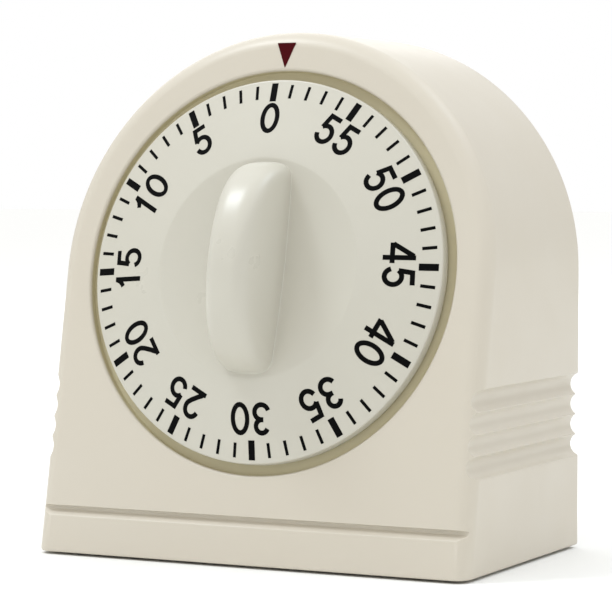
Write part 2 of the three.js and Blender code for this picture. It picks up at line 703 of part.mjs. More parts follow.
function frontPlate() {
  const [low, high] = [INSIDE, FRONT_PLATE];
  let plate = solid(slab(plateOutline(), low, high));
  for (const at of LUGS) {
    const root = at.clone().multiplyScalar(0.6);
    plate = joined(plate, bar(root, at, 2 * LUG_RADIUS, low, high), rod(at, LUG_RADIUS, low, high));
    plate = plate.subtract(hole(at, SCREW_RADIUS, SLIP, low - 1, high + 1, 12));
  }
  plate = plate.subtract(hole(ORIGIN, SHAFT_RADIUS, RUN, low - 1, high + 1, 20));
  return stemHoles(pivotHoles(plate, low, high), low, high);
}

const HAMMER_STUD_AT = new THREE.Vector2(BELL_AT.x + 12, BELL_AT.y + 12);
const HAMMER_HEAD_AT = new THREE.Vector2(
  BELL_AT.x,
  BELL_AT.y + BELL_RADIUS - BELL_WALL - STRIKE_GAP - HAMMER_HEAD_RADIUS,
);
const HAMMER_TAIL_AT = new THREE.Vector2(SECOND_AT.x - 0.6, SECOND_AT.y + STAR_RADIUS + 1.3);
const DETENT_AT = new THREE.Vector2(13, 8.6);

function rearPlate() {
  const [low, high] = [OUTSIDE, REAR_PLATE];
  let plate = solid(slab(plateOutline(), low, high));
  plate = plate.subtract(hole(ORIGIN, SHAFT_RADIUS / 2, RUN, low - 1, high + 1, 16));
  const window = 2.6;
  plate = plate.subtract(
    bar(
      new THREE.Vector2(HAMMER_TAIL_AT.x - window, HAMMER_TAIL_AT.y),
      new THREE.Vector2(HAMMER_TAIL_AT.x + window, HAMMER_TAIL_AT.y),
      window,
      low - 1,
      high + 1,
    ),
  );
  return stemHoles(pivotHoles(plate, low, high), low, high);
}

// A pillar shoulders against both plates and its thin ends pass through them.
function pillar(at) {
  const body = rod(at, PILLAR_RADIUS, REAR_PLATE + SEAT, INSIDE - SEAT, 12);
  const front = FRONT_PLATE + PIVOT_PROUD;
  const back = OUTSIDE - PILLAR_NUT_THICKNESS - PIVOT_PROUD;
  return joined(body, rod(at, PILLAR_STEM_RADIUS, back, front, 10));
}

function pillarNut(at) {
  const top = OUTSIDE - SEAT;
  const nut = rod(at, PILLAR_NUT_RADIUS, top - PILLAR_NUT_THICKNESS, top, 6);
  return nut.subtract(hole(at, PILLAR_STEM_RADIUS, SLIP, top - PAST, top + 1, 12));
}

function addFrame(group) {
  piece(group, "front_plate", frontPlate(), BRASS);
  piece(group, "rear_plate", rearPlate(), BRASS);
  PILLARS.forEach((at, k) => {
    piece(group, `pillar_${k + 1}`, pillar(at), BRASS);
    piece(group, `pillar_nut_${k + 1}`, pillarNut(at), BRASS);
  });
  LUGS.forEach((at, k) => {
    const turnedBack = geometryOf(screw(ORIGIN, 0, MOVEMENT_SCREW_LENGTH)).rotateY(Math.PI);
    turnedBack.translate(at.x, at.y, INSIDE - SEAT - SCREW_HEAD_HEIGHT);
    piece(group, `movement_screw_${k + 1}`, solid(turnedBack), ZINC);
  });
}

// ---------------------------------------------------------------- the winding shaft and what it carries
function windingShaft() {
  const shoulder = REAR_PLATE + SEAT;
  const body = rod(ORIGIN, SHAFT_RADIUS, shoulder, SHAFT_INTO_GRIP, 20);
  return joined(body, rod(ORIGIN, SHAFT_RADIUS / 2, OUTSIDE - PIVOT_PROUD, shoulder + 0.1, 12));
}

// A piece that is slipped on the shaft has this bore.
const shaftBore = (low, high) => hole(ORIGIN, SHAFT_RADIUS, SLIP, low - 1, high + 1, 20);

function mainspring() {
  const inner = SHAFT_RADIUS + SPRING_STRIP / 2 + CLEAR;
  const outline = spiralOutline(inner, SPRING_OUTER, SPRING_TURNS, SPRING_STRIP, 0, 12);
  return solid(slab(outline, SPRING_FRONT - SPRING_WIDTH, SPRING_FRONT));
}

function ratchetWheel() {
  const pitch = (2 * Math.PI) / RATCHET_TEETH;
  const points = [];
  for (let k = 0; k < RATCHET_TEETH; k++) {
    const root = RATCHET_RADIUS - RATCHET_TOOTH;
    const start = k * pitch;
    points.push([RATCHET_RADIUS * Math.cos(start), RATCHET_RADIUS * Math.sin(start)]);
    points.push([root * Math.cos(start + 0.08 * pitch), root * Math.sin(start + 0.08 * pitch)]);
  }
  const [low, high] = [RATCHET_FRONT - WHEEL_THICKNESS, RATCHET_FRONT];
  return solid(slab(polygon(points), low, high)).subtract(shaftBore(low, high));
}

const CLICK_AT = new THREE.Vector2(0, CLICK_DISTANCE);
const CLICK_NOSE_AT = away(ORIGIN, RATCHET_RADIUS + 0.9, 25);

// The great wheel carries the rivet that the click turns on.
function greatWheel() {
  const [low, high] = [GREAT_FRONT - WHEEL_THICKNESS, GREAT_FRONT];
  let wheel = solid(slab(wheelOutline(GREAT, bearing(ORIGIN, SECOND_AT)), low, high));
  for (const turn of [0, 90, 180, 270]) {
    const middle = away(ORIGIN, GREAT_OPENING_DISTANCE, turn + 225);
    wheel = wheel.subtract(rod(middle, GREAT_OPENING_RADIUS, low - 1, high + 1, 8));
  }
  wheel = wheel.subtract(shaftBore(low, high));
  return joined(wheel, rod(CLICK_AT, CLICK_RIVET_RADIUS, high - 0.1, RATCHET_FRONT, 12));
}

function click() {
  const [low, high] = [RATCHET_FRONT - WHEEL_THICKNESS, RATCHET_FRONT];
  const eye = rod(CLICK_AT, CLICK_EYE_RADIUS, low, high, 16);
  const arm = bar(CLICK_AT, CLICK_NOSE_AT, CLICK_ARM_WIDTH, low, high);
  const bore = hole(CLICK_AT, CLICK_RIVET_RADIUS, RUN, low - 1, high + 1, 12);
  return joined(eye, arm).subtract(bore);
}

function strikeCam() {
  const [low, high] = [STRIKE_FRONT - WHEEL_THICKNESS, STRIKE_FRONT];
  const disc = rod(ORIGIN, CAM_RADIUS, low, high, 36);
  const notch = bar(
    new THREE.Vector2(0, CAM_RADIUS - CAM_NOTCH_DEPTH),
    new THREE.Vector2(0, CAM_RADIUS + 1),
    CAM_NOTCH_WIDTH,
    low - 1,
    high + 1,
  );
  return disc.subtract(notch).subtract(shaftBore(low, high));
}

function shaftClip() {
  const [low, high] = [FRONT_PLATE + CLEAR, FRONT_PLATE + CLEAR + CLIP_THICKNESS];
  const below = new THREE.Vector2(0, -2 * CLIP_RADIUS);
  const mouth = bar(ORIGIN, below, 2 * SHAFT_RADIUS * 0.7, low - 1, high + 1);
  return rod(ORIGIN, CLIP_RADIUS, low, high, 20).subtract(mouth).subtract(shaftBore(low, high));
}

// ---------------------------------------------------------------- the train
// An arbor with thin pivots in both plates.
function arbor(at) {
  const body = rod(at, ARBOR_RADIUS, REAR_PLATE + CLEAR, INSIDE - CLEAR, 12);
  const pivots = rod(at, PIVOT_RADIUS, OUTSIDE - PIVOT_PROUD, FRONT_PLATE + PIVOT_PROUD, 12);
  return joined(body, pivots);
}

// An arbor cut with a pinion that meshes with a wheel at `level`, which lies towards `driver`.
function pinionArbor(at, driver, module, level) {
  const outline = pinionOutline(module, bearing(at, driver));
  const [low, high] = [level - WHEEL_THICKNESS - 0.6, level + 0.6];
  const leaves = slab(outline, low, high).translate(at.x, at.y, 0);
  return joined(arbor(at), solid(leaves));
}

// A wheel pressed on its arbor; one tooth points at the next arbor.
function trainWheel(at, next, wheel, front, openings) {
  const [low, high] = [front - WHEEL_THICKNESS, front];
  const outline = slab(wheelOutline(wheel, bearing(at, next)), low, high);
  let disc = solid(outline.translate(at.x, at.y, 0));
  for (let k = 0; k < openings; k++) {
    const turn = (360 / openings) * (k + 0.5);
    const middle = away(at, wheelRadius(wheel) * 0.58, turn);
    disc = disc.subtract(rod(middle, wheelRadius(wheel) * 0.22, low - 1, high + 1, 8));
  }
  return disc.subtract(hole(at, ARBOR_RADIUS, SLIP, low - 1, high + 1, 12));
}

function strikeStar() {
  const [low, high] = [STRIKE_FRONT - WHEEL_THICKNESS, STRIKE_FRONT];
  const outline = toothedOutline(STAR_TEETH, STAR_RADIUS, STAR_RADIUS * 0.6, 0.1, 0.9, 0);
  const star = solid(slab(outline, low, high).translate(SECOND_AT.x, SECOND_AT.y, 0));
  return star.subtract(hole(SECOND_AT, ARBOR_RADIUS, SLIP, low - 1, high + 1, 12));
}

// A quarter of a tooth pitch off the pins, so that one pin has let go and the other is about to lock.
function escapeWheel() {
  const pitch = 360 / ESCAPE_TEETH;
  const first = PALLET_BEARING + PALLET_PIN_SPREAD - pitch / 4;
  const facing = THREE.MathUtils.degToRad(first);
  const root = ESCAPE_RADIUS * 0.7;
  const outline = toothedOutline(ESCAPE_TEETH, ESCAPE_RADIUS, root, 0.08, 0.6, facing);
  const [low, high] = [SECOND_FRONT - WHEEL_THICKNESS, SECOND_FRONT];
  const wheel = solid(slab(outline, low, high).translate(ESCAPE_AT.x, ESCAPE_AT.y, 0));
  return wheel.subtract(hole(ESCAPE_AT, ARBOR_RADIUS, SLIP, low - 1, high + 1, 12));
}

// ---------------------------------------------------------------- the escapement
function palletLever() {
  const [low, high] = [LEVER_FRONT - WHEEL_THICKNESS, LEVER_FRONT];
  const pinCircle = ESCAPE_RADIUS + PALLET_PIN_CLEARANCE + PALLET_PIN_RADIUS;
  const pinEnd = SECOND_FRONT - WHEEL_THICKNESS - 0.2;
  const pins = [-1, 1].map((side) =>
    away(ESCAPE_AT, pinCircle, PALLET_BEARING + side * PALLET_PIN_SPREAD),
  );
  const forkStart = BALANCE_DISTANCE - IMPULSE_RADIUS - PALLET_PIN_RADIUS - SHORT_PIN;
  const forkEnd = away(PALLET_AT, forkStart, BALANCE_BEARING);
  const forkRoot = away(PALLET_AT, forkStart - FORK_LENGTH, BALANCE_BEARING);
  const slotStart = away(PALLET_AT, forkStart - FORK_SLOT_DEPTH, BALANCE_BEARING);
  const slotEnd = away(PALLET_AT, forkStart + 1, BALANCE_BEARING);
  let lever = joined(
    rod(PALLET_AT, PALLET_EYE_RADIUS, low, high, 16),
    ...pins.map((at) => bar(PALLET_AT, at, PALLET_ARM_WIDTH, low, high)),
    ...pins.map((at) => rod(at, PALLET_PIN_SEAT_RADIUS, low, high, 10)),
    ...pins.map((at) => rod(at, PALLET_PIN_RADIUS, pinEnd, high, 8)),
    bar(PALLET_AT, forkEnd, PALLET_ARM_WIDTH, low, high),
    bar(forkRoot, forkEnd, FORK_WIDTH, low, high),
  );
  lever = lever.subtract(bar(slotStart, slotEnd, 2 * PALLET_PIN_RADIUS + 0.2, low - 1, high + 1));
  return lever.subtract(hole(PALLET_AT, ARBOR_RADIUS, SLIP, low - 1, high + 1, 12));
}

function balanceWheel() {
  const [low, high] = [BALANCE_FRONT - BALANCE_THICKNESS, BALANCE_FRONT];
  const inner = BALANCE_RADIUS - BALANCE_RIM;
  const rim = rod(BALANCE_AT, BALANCE_RADIUS, low, high, 24).subtract(
    rod(BALANCE_AT, inner, low - 1, high + 1, 24),
  );
  const arm = [away(BALANCE_AT, -inner - 0.4, 60), away(BALANCE_AT, inner + 0.4, 60)];
  const spoke = bar(...arm, BALANCE_SPOKE_WIDTH, low + 0.4, high - 0.4);
  const hub = rod(BALANCE_AT, BALANCE_HUB_RADIUS, low, high, 16);
  const bore = hole(BALANCE_AT, ARBOR_RADIUS, SLIP, low - 1, high + 1, 12);
  return joined(rim, spoke, hub).subtract(bore);
}

// The staff carries a small roller whose impulse pin works in the lever's fork.
function balanceStaff() {
  const rollerBack = LEVER_FRONT + CLEAR;
  const roller = rod(BALANCE_AT, IMPULSE_RADIUS + 0.7, rollerBack, rollerBack + 0.6, 16);
  const at = away(BALANCE_AT, -IMPULSE_RADIUS, BALANCE_BEARING);
  const pinEnd = LEVER_FRONT - WHEEL_THICKNESS;
  const pin = rod(at, PALLET_PIN_RADIUS, pinEnd, rollerBack + 0.1, 8);
  return joined(arbor(BALANCE_AT), roller, pin);
}

function hairspring() {
  const inner = ARBOR_RADIUS + HAIRSPRING_STRIP / 2 + SLIP;
  const start = THREE.MathUtils.degToRad(HAIRSPRING_END);
  const outline = spiralOutline(
    inner,
    HAIRSPRING_OUTER,
    HAIRSPRING_TURNS,
    HAIRSPRING_STRIP,
    start,
    12,
  );
  const strip = slab(outline, HAIRSPRING_FRONT - HAIRSPRING_WIDTH, HAIRSPRING_FRONT);
  return solid(strip.translate(BALANCE_AT.x, BALANCE_AT.y, 0));
}

// The stud stands on the rear plate, outside the spring's last turn.
function hairspringStud() {
  const radius = HAIRSPRING_STUD_RADIUS;
  const distance = HAIRSPRING_OUTER + HAIRSPRING_STRIP / 2 + radius + SEAT;
  const at = away(BALANCE_AT, distance, HAIRSPRING_END);
  return rod(at, radius, REAR_PLATE + SEAT, HAIRSPRING_FRONT + 0.3, 12);
}

// ---------------------------------------------------------------- the strike work
// The lever's beak rides on the strike cam and drops into the notch when the time is up.
function detentLever() {
  const [low, high] = [STRIKE_FRONT - WHEEL_THICKNESS, STRIKE_FRONT];
  const armHeight = CAM_RADIUS + 2.4;
  const armEnd = new THREE.Vector2(-DETENT_BEAK_WIDTH / 2, armHeight);
  const beakTop = new THREE.Vector2(0, armHeight);
  const beakTip = new THREE.Vector2(0, CAM_RADIUS + CLEAR);
  const stop = new THREE.Vector2(HAMMER_TAIL_AT.x + 1.6, HAMMER_TAIL_AT.y - 0.6);
  const lever = joined(
    rod(DETENT_AT, DETENT_EYE_RADIUS, low, high, 16),
    bar(DETENT_AT, armEnd, DETENT_BEAK_WIDTH, low, high),
    bar(beakTop, beakTip, DETENT_BEAK_WIDTH, low, high),
    bar(DETENT_AT, stop, DETENT_ARM_WIDTH, low, high),
  );
  return lever.subtract(hole(DETENT_AT, HAMMER_STUD_RADIUS, RUN, low - 1, high + 1, 12));
}

function detentStud() {
  return rod(DETENT_AT, HAMMER_STUD_RADIUS, REAR_PLATE + SEAT, STRIKE_FRONT + CLEAR, 12);
}

const HAMMER_FRONT = OUTSIDE - 0.8;

function hammer() {
  const [low, high] = [HAMMER_FRONT - HAMMER_ARM_THICKNESS, HAMMER_FRONT];
  const headBack = low - HAMMER_HEAD_HEIGHT;
  const pinFront = STRIKE_FRONT - WHEEL_THICKNESS - 0.2;
  const eye = rod(HAMMER_STUD_AT, HAMMER_EYE_RADIUS, low, high, 16);
  const arm = bar(HAMMER_STUD_AT, HAMMER_HEAD_AT, HAMMER_ARM_WIDTH, low, high);
  const tail = bar(HAMMER_STUD_AT, HAMMER_TAIL_AT, HAMMER_TAIL_WIDTH, low, high);
  const pin = rod(HAMMER_TAIL_AT, HAMMER_PIN_RADIUS, pinFront, high, 8);
  const neck = rod(HAMMER_HEAD_AT, HAMMER_NECK_RADIUS, headBack, high, 12);
  const whole = joined(eye, arm, tail, pin, neck);
  return whole.subtract(hole(HAMMER_STUD_AT, HAMMER_STUD_RADIUS, RUN, low - 1, high + 1, 12));
}

function hammerHead() {
  const top = HAMMER_FRONT - HAMMER_ARM_THICKNESS - SEAT;
  const head = rod(HAMMER_HEAD_AT, HAMMER_HEAD_RADIUS, top - HAMMER_HEAD_HEIGHT, top, 20);
  return head.subtract(hole(HAMMER_HEAD_AT, HAMMER_NECK_RADIUS, SLIP, top - PAST, top + 1, 12));
}

function hammerStud() {
  const end = HAMMER_FRONT - HAMMER_ARM_THICKNESS - CLEAR;
  const pin = rod(HAMMER_STUD_AT, HAMMER_STUD_RADIUS, end, OUTSIDE - SEAT, 12);
  return joined(pin, rod(HAMMER_STUD_AT, 2, end - 0.8, end, 12));
}

const BELL_MOUTH = OUTSIDE - BELL_STANDOFF;
const BELL_CROWN = BELL_MOUTH - BELL_HEIGHT;

function bell() {
  const wall = BELL_WALL;
  const steps = 5;
  const dome = (radius, seat, mouth, crown) => {
    const points = [];
    for (let k = 0; k <= steps; k++) {
      const angle = ((k / steps) * Math.PI) / 2;
      const reach = seat + (radius - seat) * Math.cos(angle);
      points.push([reach, mouth + (crown - mouth) * Math.sin(angle)]);
    }
    return points;
  };
  const outer = dome(BELL_RADIUS, BELL_SEAT_RADIUS, BELL_MOUTH, BELL_CROWN);
  const inner = dome(BELL_RADIUS - wall, BELL_SEAT_RADIUS - wall, BELL_MOUTH, BELL_CROWN + wall);
  const profile = [...outer, [0, BELL_CROWN], [0, BELL_CROWN + wall], ...inner.reverse(), outer[0]];
  const cup = turned(BELL_AT, profile, 24);
  const bore = hole(BELL_AT, BELL_POST_RADIUS / 2, RUN, BELL_CROWN - 1, BELL_CROWN + 2 * wall, 12);
  return cup.subtract(bore);
}

function bellPost() {
  const shoulder = BELL_CROWN + BELL_WALL + SEAT;
  const end = BELL_CROWN - BELL_NUT_THICKNESS - 0.6;
  const body = rod(BELL_AT, BELL_POST_RADIUS, shoulder, OUTSIDE - SEAT, 16);
  return joined(body, rod(BELL_AT, BELL_POST_RADIUS / 2, end, shoulder + 0.1, 12));
}

function bellNut() {
  const top = BELL_CROWN - SEAT;
  const nut = rod(BELL_AT, BELL_NUT_RADIUS, top - BELL_NUT_THICKNESS, top, 6);
  return nut.subtract(hole(BELL_AT, BELL_POST_RADIUS / 2, SLIP, top - PAST, top + 1, 12));
}

function addDialAndShaft(group) {
  piece(group, "pointer_mark", pointerMark(), MAROON);
  piece(group, "dial_knob", dialKnob(), DIAL_CREAM);
  piece(group, "winding_shaft", windingShaft(), STEEL);
  piece(group, "shaft_clip", shaftClip(), ZINC);
  piece(group, "mainspring", mainspring(), BLUE_STEEL);
  piece(group, "ratchet_wheel", ratchetWheel(), STEEL);
  piece(group, "click", click(), STEEL);
  piece(group, "great_wheel", greatWheel(), BRASS);
  piece(group, "strike_cam", strikeCam(), BRASS);
}

function addTrain(group) {
  const second = pinionArbor(SECOND_AT, ORIGIN, GREAT.module, GREAT_FRONT);
  const third = pinionArbor(THIRD_AT, SECOND_AT, SECOND.module, SECOND_FRONT);
  const escape = pinionArbor(ESCAPE_AT, THIRD_AT, THIRD.module, THIRD_FRONT);
  piece(group, "second_arbor", second, STEEL);
  piece(group, "second_wheel", trainWheel(SECOND_AT, THIRD_AT, SECOND, SECOND_FRONT, 4), BRASS);
  piece(group, "third_arbor", third, STEEL);
  piece(group, "third_wheel", trainWheel(THIRD_AT, ESCAPE_AT, THIRD, THIRD_FRONT, 4), BRASS);
  piece(group, "escape_arbor", escape, STEEL);
  piece(group, "escape_wheel", escapeWheel(), BRASS);
  piece(group, "strike_star", strikeStar(), STEEL);
}

function addEscapement(group) {
  piece(group, "pallet_arbor", arbor(PALLET_AT), STEEL);
  piece(group, "pallet_lever", palletLever(), STEEL);
  piece(group, "balance_staff", balanceStaff(), STEEL);
  piece(group, "balance_wheel", balanceWheel(), BRASS);
  piece(group, "hairspring", hairspring(), BLUE_STEEL);
  piece(group, "hairspring_stud", hairspringStud(), BRASS);
}

function addStrikeWork(group) {
  piece(group, "detent_lever", detentLever(), STEEL);
  piece(group, "detent_stud", detentStud(), STEEL);
  piece(group, "hammer", hammer(), STEEL);
  piece(group, "hammer_head", hammerHead(), BRASS);
  piece(group, "hammer_stud", hammerStud(), STEEL);
  piece(group, "bell", bell(), BELL_NICKEL);
  piece(group, "bell_post", bellPost(), STEEL);
  piece(group, "bell_nut", bellNut(), ZINC);
}

// ---------------------------------------------------------------- the whole timer
const timer = new THREE.Group();
const onAxis = new THREE.Group();
onAxis.applyMatrix4(dialFrame);
timer.add(onAxis);

addCase(timer);
addFrame(onAxis);
addDialAndShaft(onAxis);
addTrain(onAxis);
addEscapement(onAxis);
addStrikeWork(onAxis);

// The timer stands on its feet, with the origin under the middle of its whole box.
const whole = new THREE.Box3().setFromObject(timer, true);
timer.position.set(0, -(whole.min.y + whole.max.y) / 2, FOOT_PROUD);

const part = new THREE.Group();
part.add(timer);

export default part;
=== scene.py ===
"""A wind-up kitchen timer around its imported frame: moulded case, printed dial and clockwork."""

import json
import math

import bmesh
import bpy
from mathutils import Matrix, Vector


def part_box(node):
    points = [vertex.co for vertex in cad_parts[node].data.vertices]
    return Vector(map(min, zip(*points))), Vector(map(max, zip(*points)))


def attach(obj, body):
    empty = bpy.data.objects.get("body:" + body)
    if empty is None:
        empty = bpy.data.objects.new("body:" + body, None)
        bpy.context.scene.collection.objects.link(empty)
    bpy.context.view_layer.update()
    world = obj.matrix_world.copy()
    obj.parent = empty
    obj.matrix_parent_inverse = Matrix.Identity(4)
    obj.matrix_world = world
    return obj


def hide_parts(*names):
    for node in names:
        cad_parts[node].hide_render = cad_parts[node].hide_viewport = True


bl_info = {
    "name": "Kitchen timer",
    "version": (1, 0, 0),
    "blender": (4, 5, 0),
    "location": "View3D > Sidebar > Kitchen timer",
    "description": "Builds a wind-up kitchen timer with a printed dial and a clockwork movement",
    "category": "Object",
}

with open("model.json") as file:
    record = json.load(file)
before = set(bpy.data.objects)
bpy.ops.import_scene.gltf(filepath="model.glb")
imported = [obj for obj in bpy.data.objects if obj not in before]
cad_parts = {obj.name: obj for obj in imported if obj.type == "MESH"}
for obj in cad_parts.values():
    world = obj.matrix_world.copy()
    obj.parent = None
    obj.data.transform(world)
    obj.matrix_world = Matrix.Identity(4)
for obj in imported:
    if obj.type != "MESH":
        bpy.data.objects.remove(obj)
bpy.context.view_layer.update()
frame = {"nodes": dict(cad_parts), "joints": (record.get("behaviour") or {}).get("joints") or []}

MM = 0.001  # pieces are modelled in millimetres and placed in metres
DIAL_JOINT = next(joint for joint in frame["joints"] if joint["name"] == "dial_turn")
OUTWARD = -Vector(DIAL_JOINT["axis"])
DIAL_CENTRE = Vector(DIAL_JOINT["pos_m"])
FACE_UP = OUTWARD.cross(Vector((1, 0, 0)))
# The dial's own space: x to the right, y up the leaning front, z out of it, in millimetres.
FACE = Matrix.Translation(DIAL_CENTRE) @ Matrix(((1, 0, 0), FACE_UP, OUTWARD)).transposed().to_4x4()
FACE_MM = FACE @ Matrix.Scale(MM, 4)
ROW_MM = Matrix.Scale(MM, 4)


def row_box(node):
    """Lowest and highest corner of a CAD node in the row frame, in millimetres."""
    low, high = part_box(node)
    return low / MM, high / MM


def face_box(node):
    """Lowest and highest corner of a CAD node in the dial's own space."""
    to_face = FACE_MM.inverted()
    places = [to_face @ v.co for v in frame["nodes"][node].data.vertices]
    low = Vector(min(p[k] for p in places) for k in range(3))
    high = Vector(max(p[k] for p in places) for k in range(3))
    return low, high


CASE_LOW, CASE_HIGH = row_box("housing")
COVER_LOW, COVER_HIGH = row_box("rear_cover")
DIAL_LOW, DIAL_HIGH = face_box("dial_knob")
POINTER_LOW, POINTER_HIGH = face_box("pointer_mark")
# where the leaning front meets the underside, along the front from the dial's centre
FACE_FOOT = (CASE_LOW.z - DIAL_CENTRE.z / MM) / FACE_UP.z


def linear(code):
    """An sRGB hex colour as the linear values that the shaders take."""
    parts = [int(code[k : k + 2], 16) / 255 for k in (0, 2, 4)]
    return tuple(c / 12.92 if c <= 0.04045 else ((c + 0.055) / 1.055) ** 2.4 for c in parts)


def length_prop(name, text, value):
    """A length that the panel shows, in millimetres."""
    text += ", in millimetres"
    return bpy.props.FloatProperty(name=name, description=text, default=value, min=0)


def angle_prop(name, text, degrees):
    """An angle that the panel shows, in degrees."""
    return bpy.props.FloatProperty(
        name=name, description=text, subtype="ANGLE", default=math.radians(degrees)
    )


def colour_prop(name, text, code):
    """A colour that the panel shows."""
    return bpy.props.FloatVectorProperty(
        name=name, description=text, subtype="COLOR", size=3, min=0, max=1, default=linear(code)
    )


# ---- settings
class TimerCaseSettings(bpy.types.PropertyGroup):
    """Sizes of the moulded case and what is fixed to it."""

    wall: length_prop("Wall", "Thickness of the case's wall", 2.4)
    front_round: length_prop("Front edge", "Radius of the edge round the front", 3.0)
    small_round: length_prop("Small edges", "Radius of the case's rear and bottom edges", 0.5)
    well_radius: length_prop("Well radius", "Radius of the dial's well", 38.0)
    well_depth: length_prop("Well depth", "Depth of the dial's well", 1.9)
    well_lip: length_prop("Well lip", "Radius of the well's rim", 0.6)
    rib_radius: length_prop("Side groove radius", "Radius of each scooped side groove", 2.15)
    rib_depth: length_prop("Side groove depth", "Depth of each side groove", 1.7)
    rib_pitch: length_prop("Side groove pitch", "Height from one side groove to the next", 3.87)
    rib_top: length_prop("Highest side groove", "Height of the highest groove above the base", 31.2)
    rib_round: length_prop("Ridge round", "Rounding of the ridges between the side grooves", 0.35)
    base_groove_top: length_prop("Base groove", "Height of the front groove's upper edge", 9.0)
    base_groove_height: length_prop("Base groove height", "Height of the front groove", 2.0)
    base_groove_depth: length_prop("Base groove depth", "Depth of the front groove", 1.2)
    base_groove_flat: length_prop("Base groove flat", "Height of that groove's flat bottom", 0.7)


class TimerDialSettings(bpy.types.PropertyGroup):
    """Sizes of the turning dial and its grip."""

    proud: length_prop("Dial proud", "Height of the dial's edge above the case's front", 1.2)
    rise: length_prop("Dial rise", "Rise of the printed face from edge to dish", 3.2)
    thickness: length_prop("Dial thickness", "Thickness of the dial's disc", 2.6)
    edge_round: length_prop("Dial edge", "Radius of the dial's outer edge", 0.4)
    dish_radius: length_prop("Dish radius", "Radius of the shallow dish round the grip", 20.5)
    dish_depth: length_prop("Dish depth", "Depth of the dish in its middle", 1.3)
    grip_length: length_prop("Grip length", "Length of the grip fin", 39.4)
    grip_thickness: length_prop("Grip thickness", "Thickness of the grip fin at its foot", 10.4)
    grip_round: length_prop("Grip round", "Width of the fin's rounded rim", 3.6)
    rim_blend: length_prop("Rim blend", "Softness of the dish's edge", 0.06)
    hub_radius: length_prop("Hub radius", "Radius of the hub behind the dial", 5.5)
    grip_turn: angle_prop("Grip turn", "How far the fin stands round, with the clock", 1.2)
    grip_fillet: length_prop("Grip foot", "Radius where the fin meets the dish", 0.2)


class TimerPrintSettings(bpy.types.PropertyGroup):
    """Sizes of the scale that is printed on the dial."""

    turn: angle_prop("Scale turn", "Turn of the scale from the pointer when run down", 1.6)
    ink: length_prop("Ink", "Thickness of the print", 0.03)
    five_outer: length_prop("Five-minute mark", "Radius of a five-minute mark's outer end", 35.3)
    five_length: length_prop("Five-minute length", "Length of a five-minute mark", 3.6)
    five_width: length_prop("Five-minute width", "Width of a five-minute mark", 1.3)
    minute_outer: length_prop("Minute mark", "Radius of a minute mark's outer end", 35.0)
    minute_length: length_prop("Minute length", "Length of a minute mark", 2.7)
    minute_width: length_prop("Minute width", "Width of a minute mark", 0.6)
    figure_radius: length_prop("Figure radius", "Radius of the figures' circle", 28.1)
    figure_lift: length_prop("Figure lift", "Height of that circle above the dial's centre", 0.3)
    figure_height: length_prop("Figure height", "Height of the figures", 6.0)
    figure_width: length_prop("Figure width", "Width of one figure", 3.9)
    figure_stroke: length_prop("Figure stroke", "Width of the figures' strokes", 0.9)
    figure_pitch: length_prop("Figure pitch", "From one figure of a number to the next", 4.4)


class TimerFinishSettings(bpy.types.PropertyGroup):
    """Colours of the timer's materials."""

    case: colour_prop("Case", "Moulded case", "CFC8BA")
    # The recess colour is painted shade: the case's plastic drawn darker and yellower where the gap
    # round the dial lies in shadow.
    recess: colour_prop("Recess", "Soiled floor of the gap round the dial", "CCC3A2")
    dial: colour_prop("Dial", "Moulded dial and grip", "C9C6BA")
    ink: colour_prop("Print", "Ink of the scale", "030303")
    pointer: colour_prop("Pointer", "Ink of the pointer", "3C0409")
    rubber: colour_prop("Feet", "Rubber feet", "2A2A2B")
    brass: colour_prop("Brass", "Plates and wheels", "C9A057")
    steel: colour_prop("Steel", "Arbors, levers and pinions", "A6A8AB")
    zinc: colour_prop("Zinc plate", "Plated screws", "C6C9CC")
    spring: colour_prop("Spring steel", "Blued springs", "3A4766")
    nickel: colour_prop("Nickel plate", "Bell", "D6D4CE")


class TimerStageSettings(bpy.types.PropertyGroup):
    """Where the camera and the lights stand."""

    azimuth: angle_prop("Camera azimuth", "How far round to the right the camera stands", 26.9)
    elevation: angle_prop("Camera elevation", "How far above level the camera stands", 2.65)
    distance: bpy.props.FloatProperty(
        name="Camera distance",
        description="From the camera to the middle of the timer",
        unit="LENGTH",
        default=0.4927,
    )
    lens: bpy.props.FloatProperty(
        name="Lens", description="Focal length", subtype="DISTANCE_CAMERA", default=154.0
    )
    floor: colour_prop("Floor", "Floor and background", "F4F4F2")


SETTINGS = {
    "timer_case": TimerCaseSettings,
    "timer_dial": TimerDialSettings,
    "timer_print": TimerPrintSettings,
    "timer_finish": TimerFinishSettings,
    "timer_stage": TimerStageSettings,
}


# ---- mesh helpers
SHARP_OVER = math.radians(32)  # an edge that turns further than this stays sharp
NEAR = 1e-3  # closer than this, in millimetres, counts as the same place
MERGE = 1e-4  # points closer than this, in millimetres, are made one


def in_scene(name, data):
    """A new object in the scene, with its mesh, light or camera."""
    made = bpy.data.objects.new(name, data)
    bpy.context.scene.collection.objects.link(made)
    return made


def as_object(bm, name="tool"):
    """Turns a bmesh into an object in the scene."""
    mesh = bpy.data.meshes.new(name)
    bm.to_mesh(mesh)
    bm.free()
    return in_scene(name, mesh)


def shown(bm, name, body, place, slot=None, looks=(), replaces=()):
    """Turns a bmesh in millimetres into a named piece that rides on a CAD body. It wears the finish
    of its slot, unless looks names others."""
    piece = as_object(moved(bm, place), name)
    piece.data.shade_smooth()
    piece.data.set_sharp_from_angle(angle=SHARP_OVER)
    for look in looks or [slot]:
        piece.data.materials.append(finish(look))
    weighted = piece.modifiers.new("flat faces stay flat", "WEIGHTED_NORMAL")
    weighted.keep_sharp = True
    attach(piece, body)
    if replaces:
        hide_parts(*replaces)


def closed(bm):
    """Merges what meets and points the faces outwards."""
    bmesh.ops.remove_doubles(bm, verts=bm.verts, dist=MERGE)
    bmesh.ops.recalc_face_normals(bm, faces=bm.faces)
    return bm


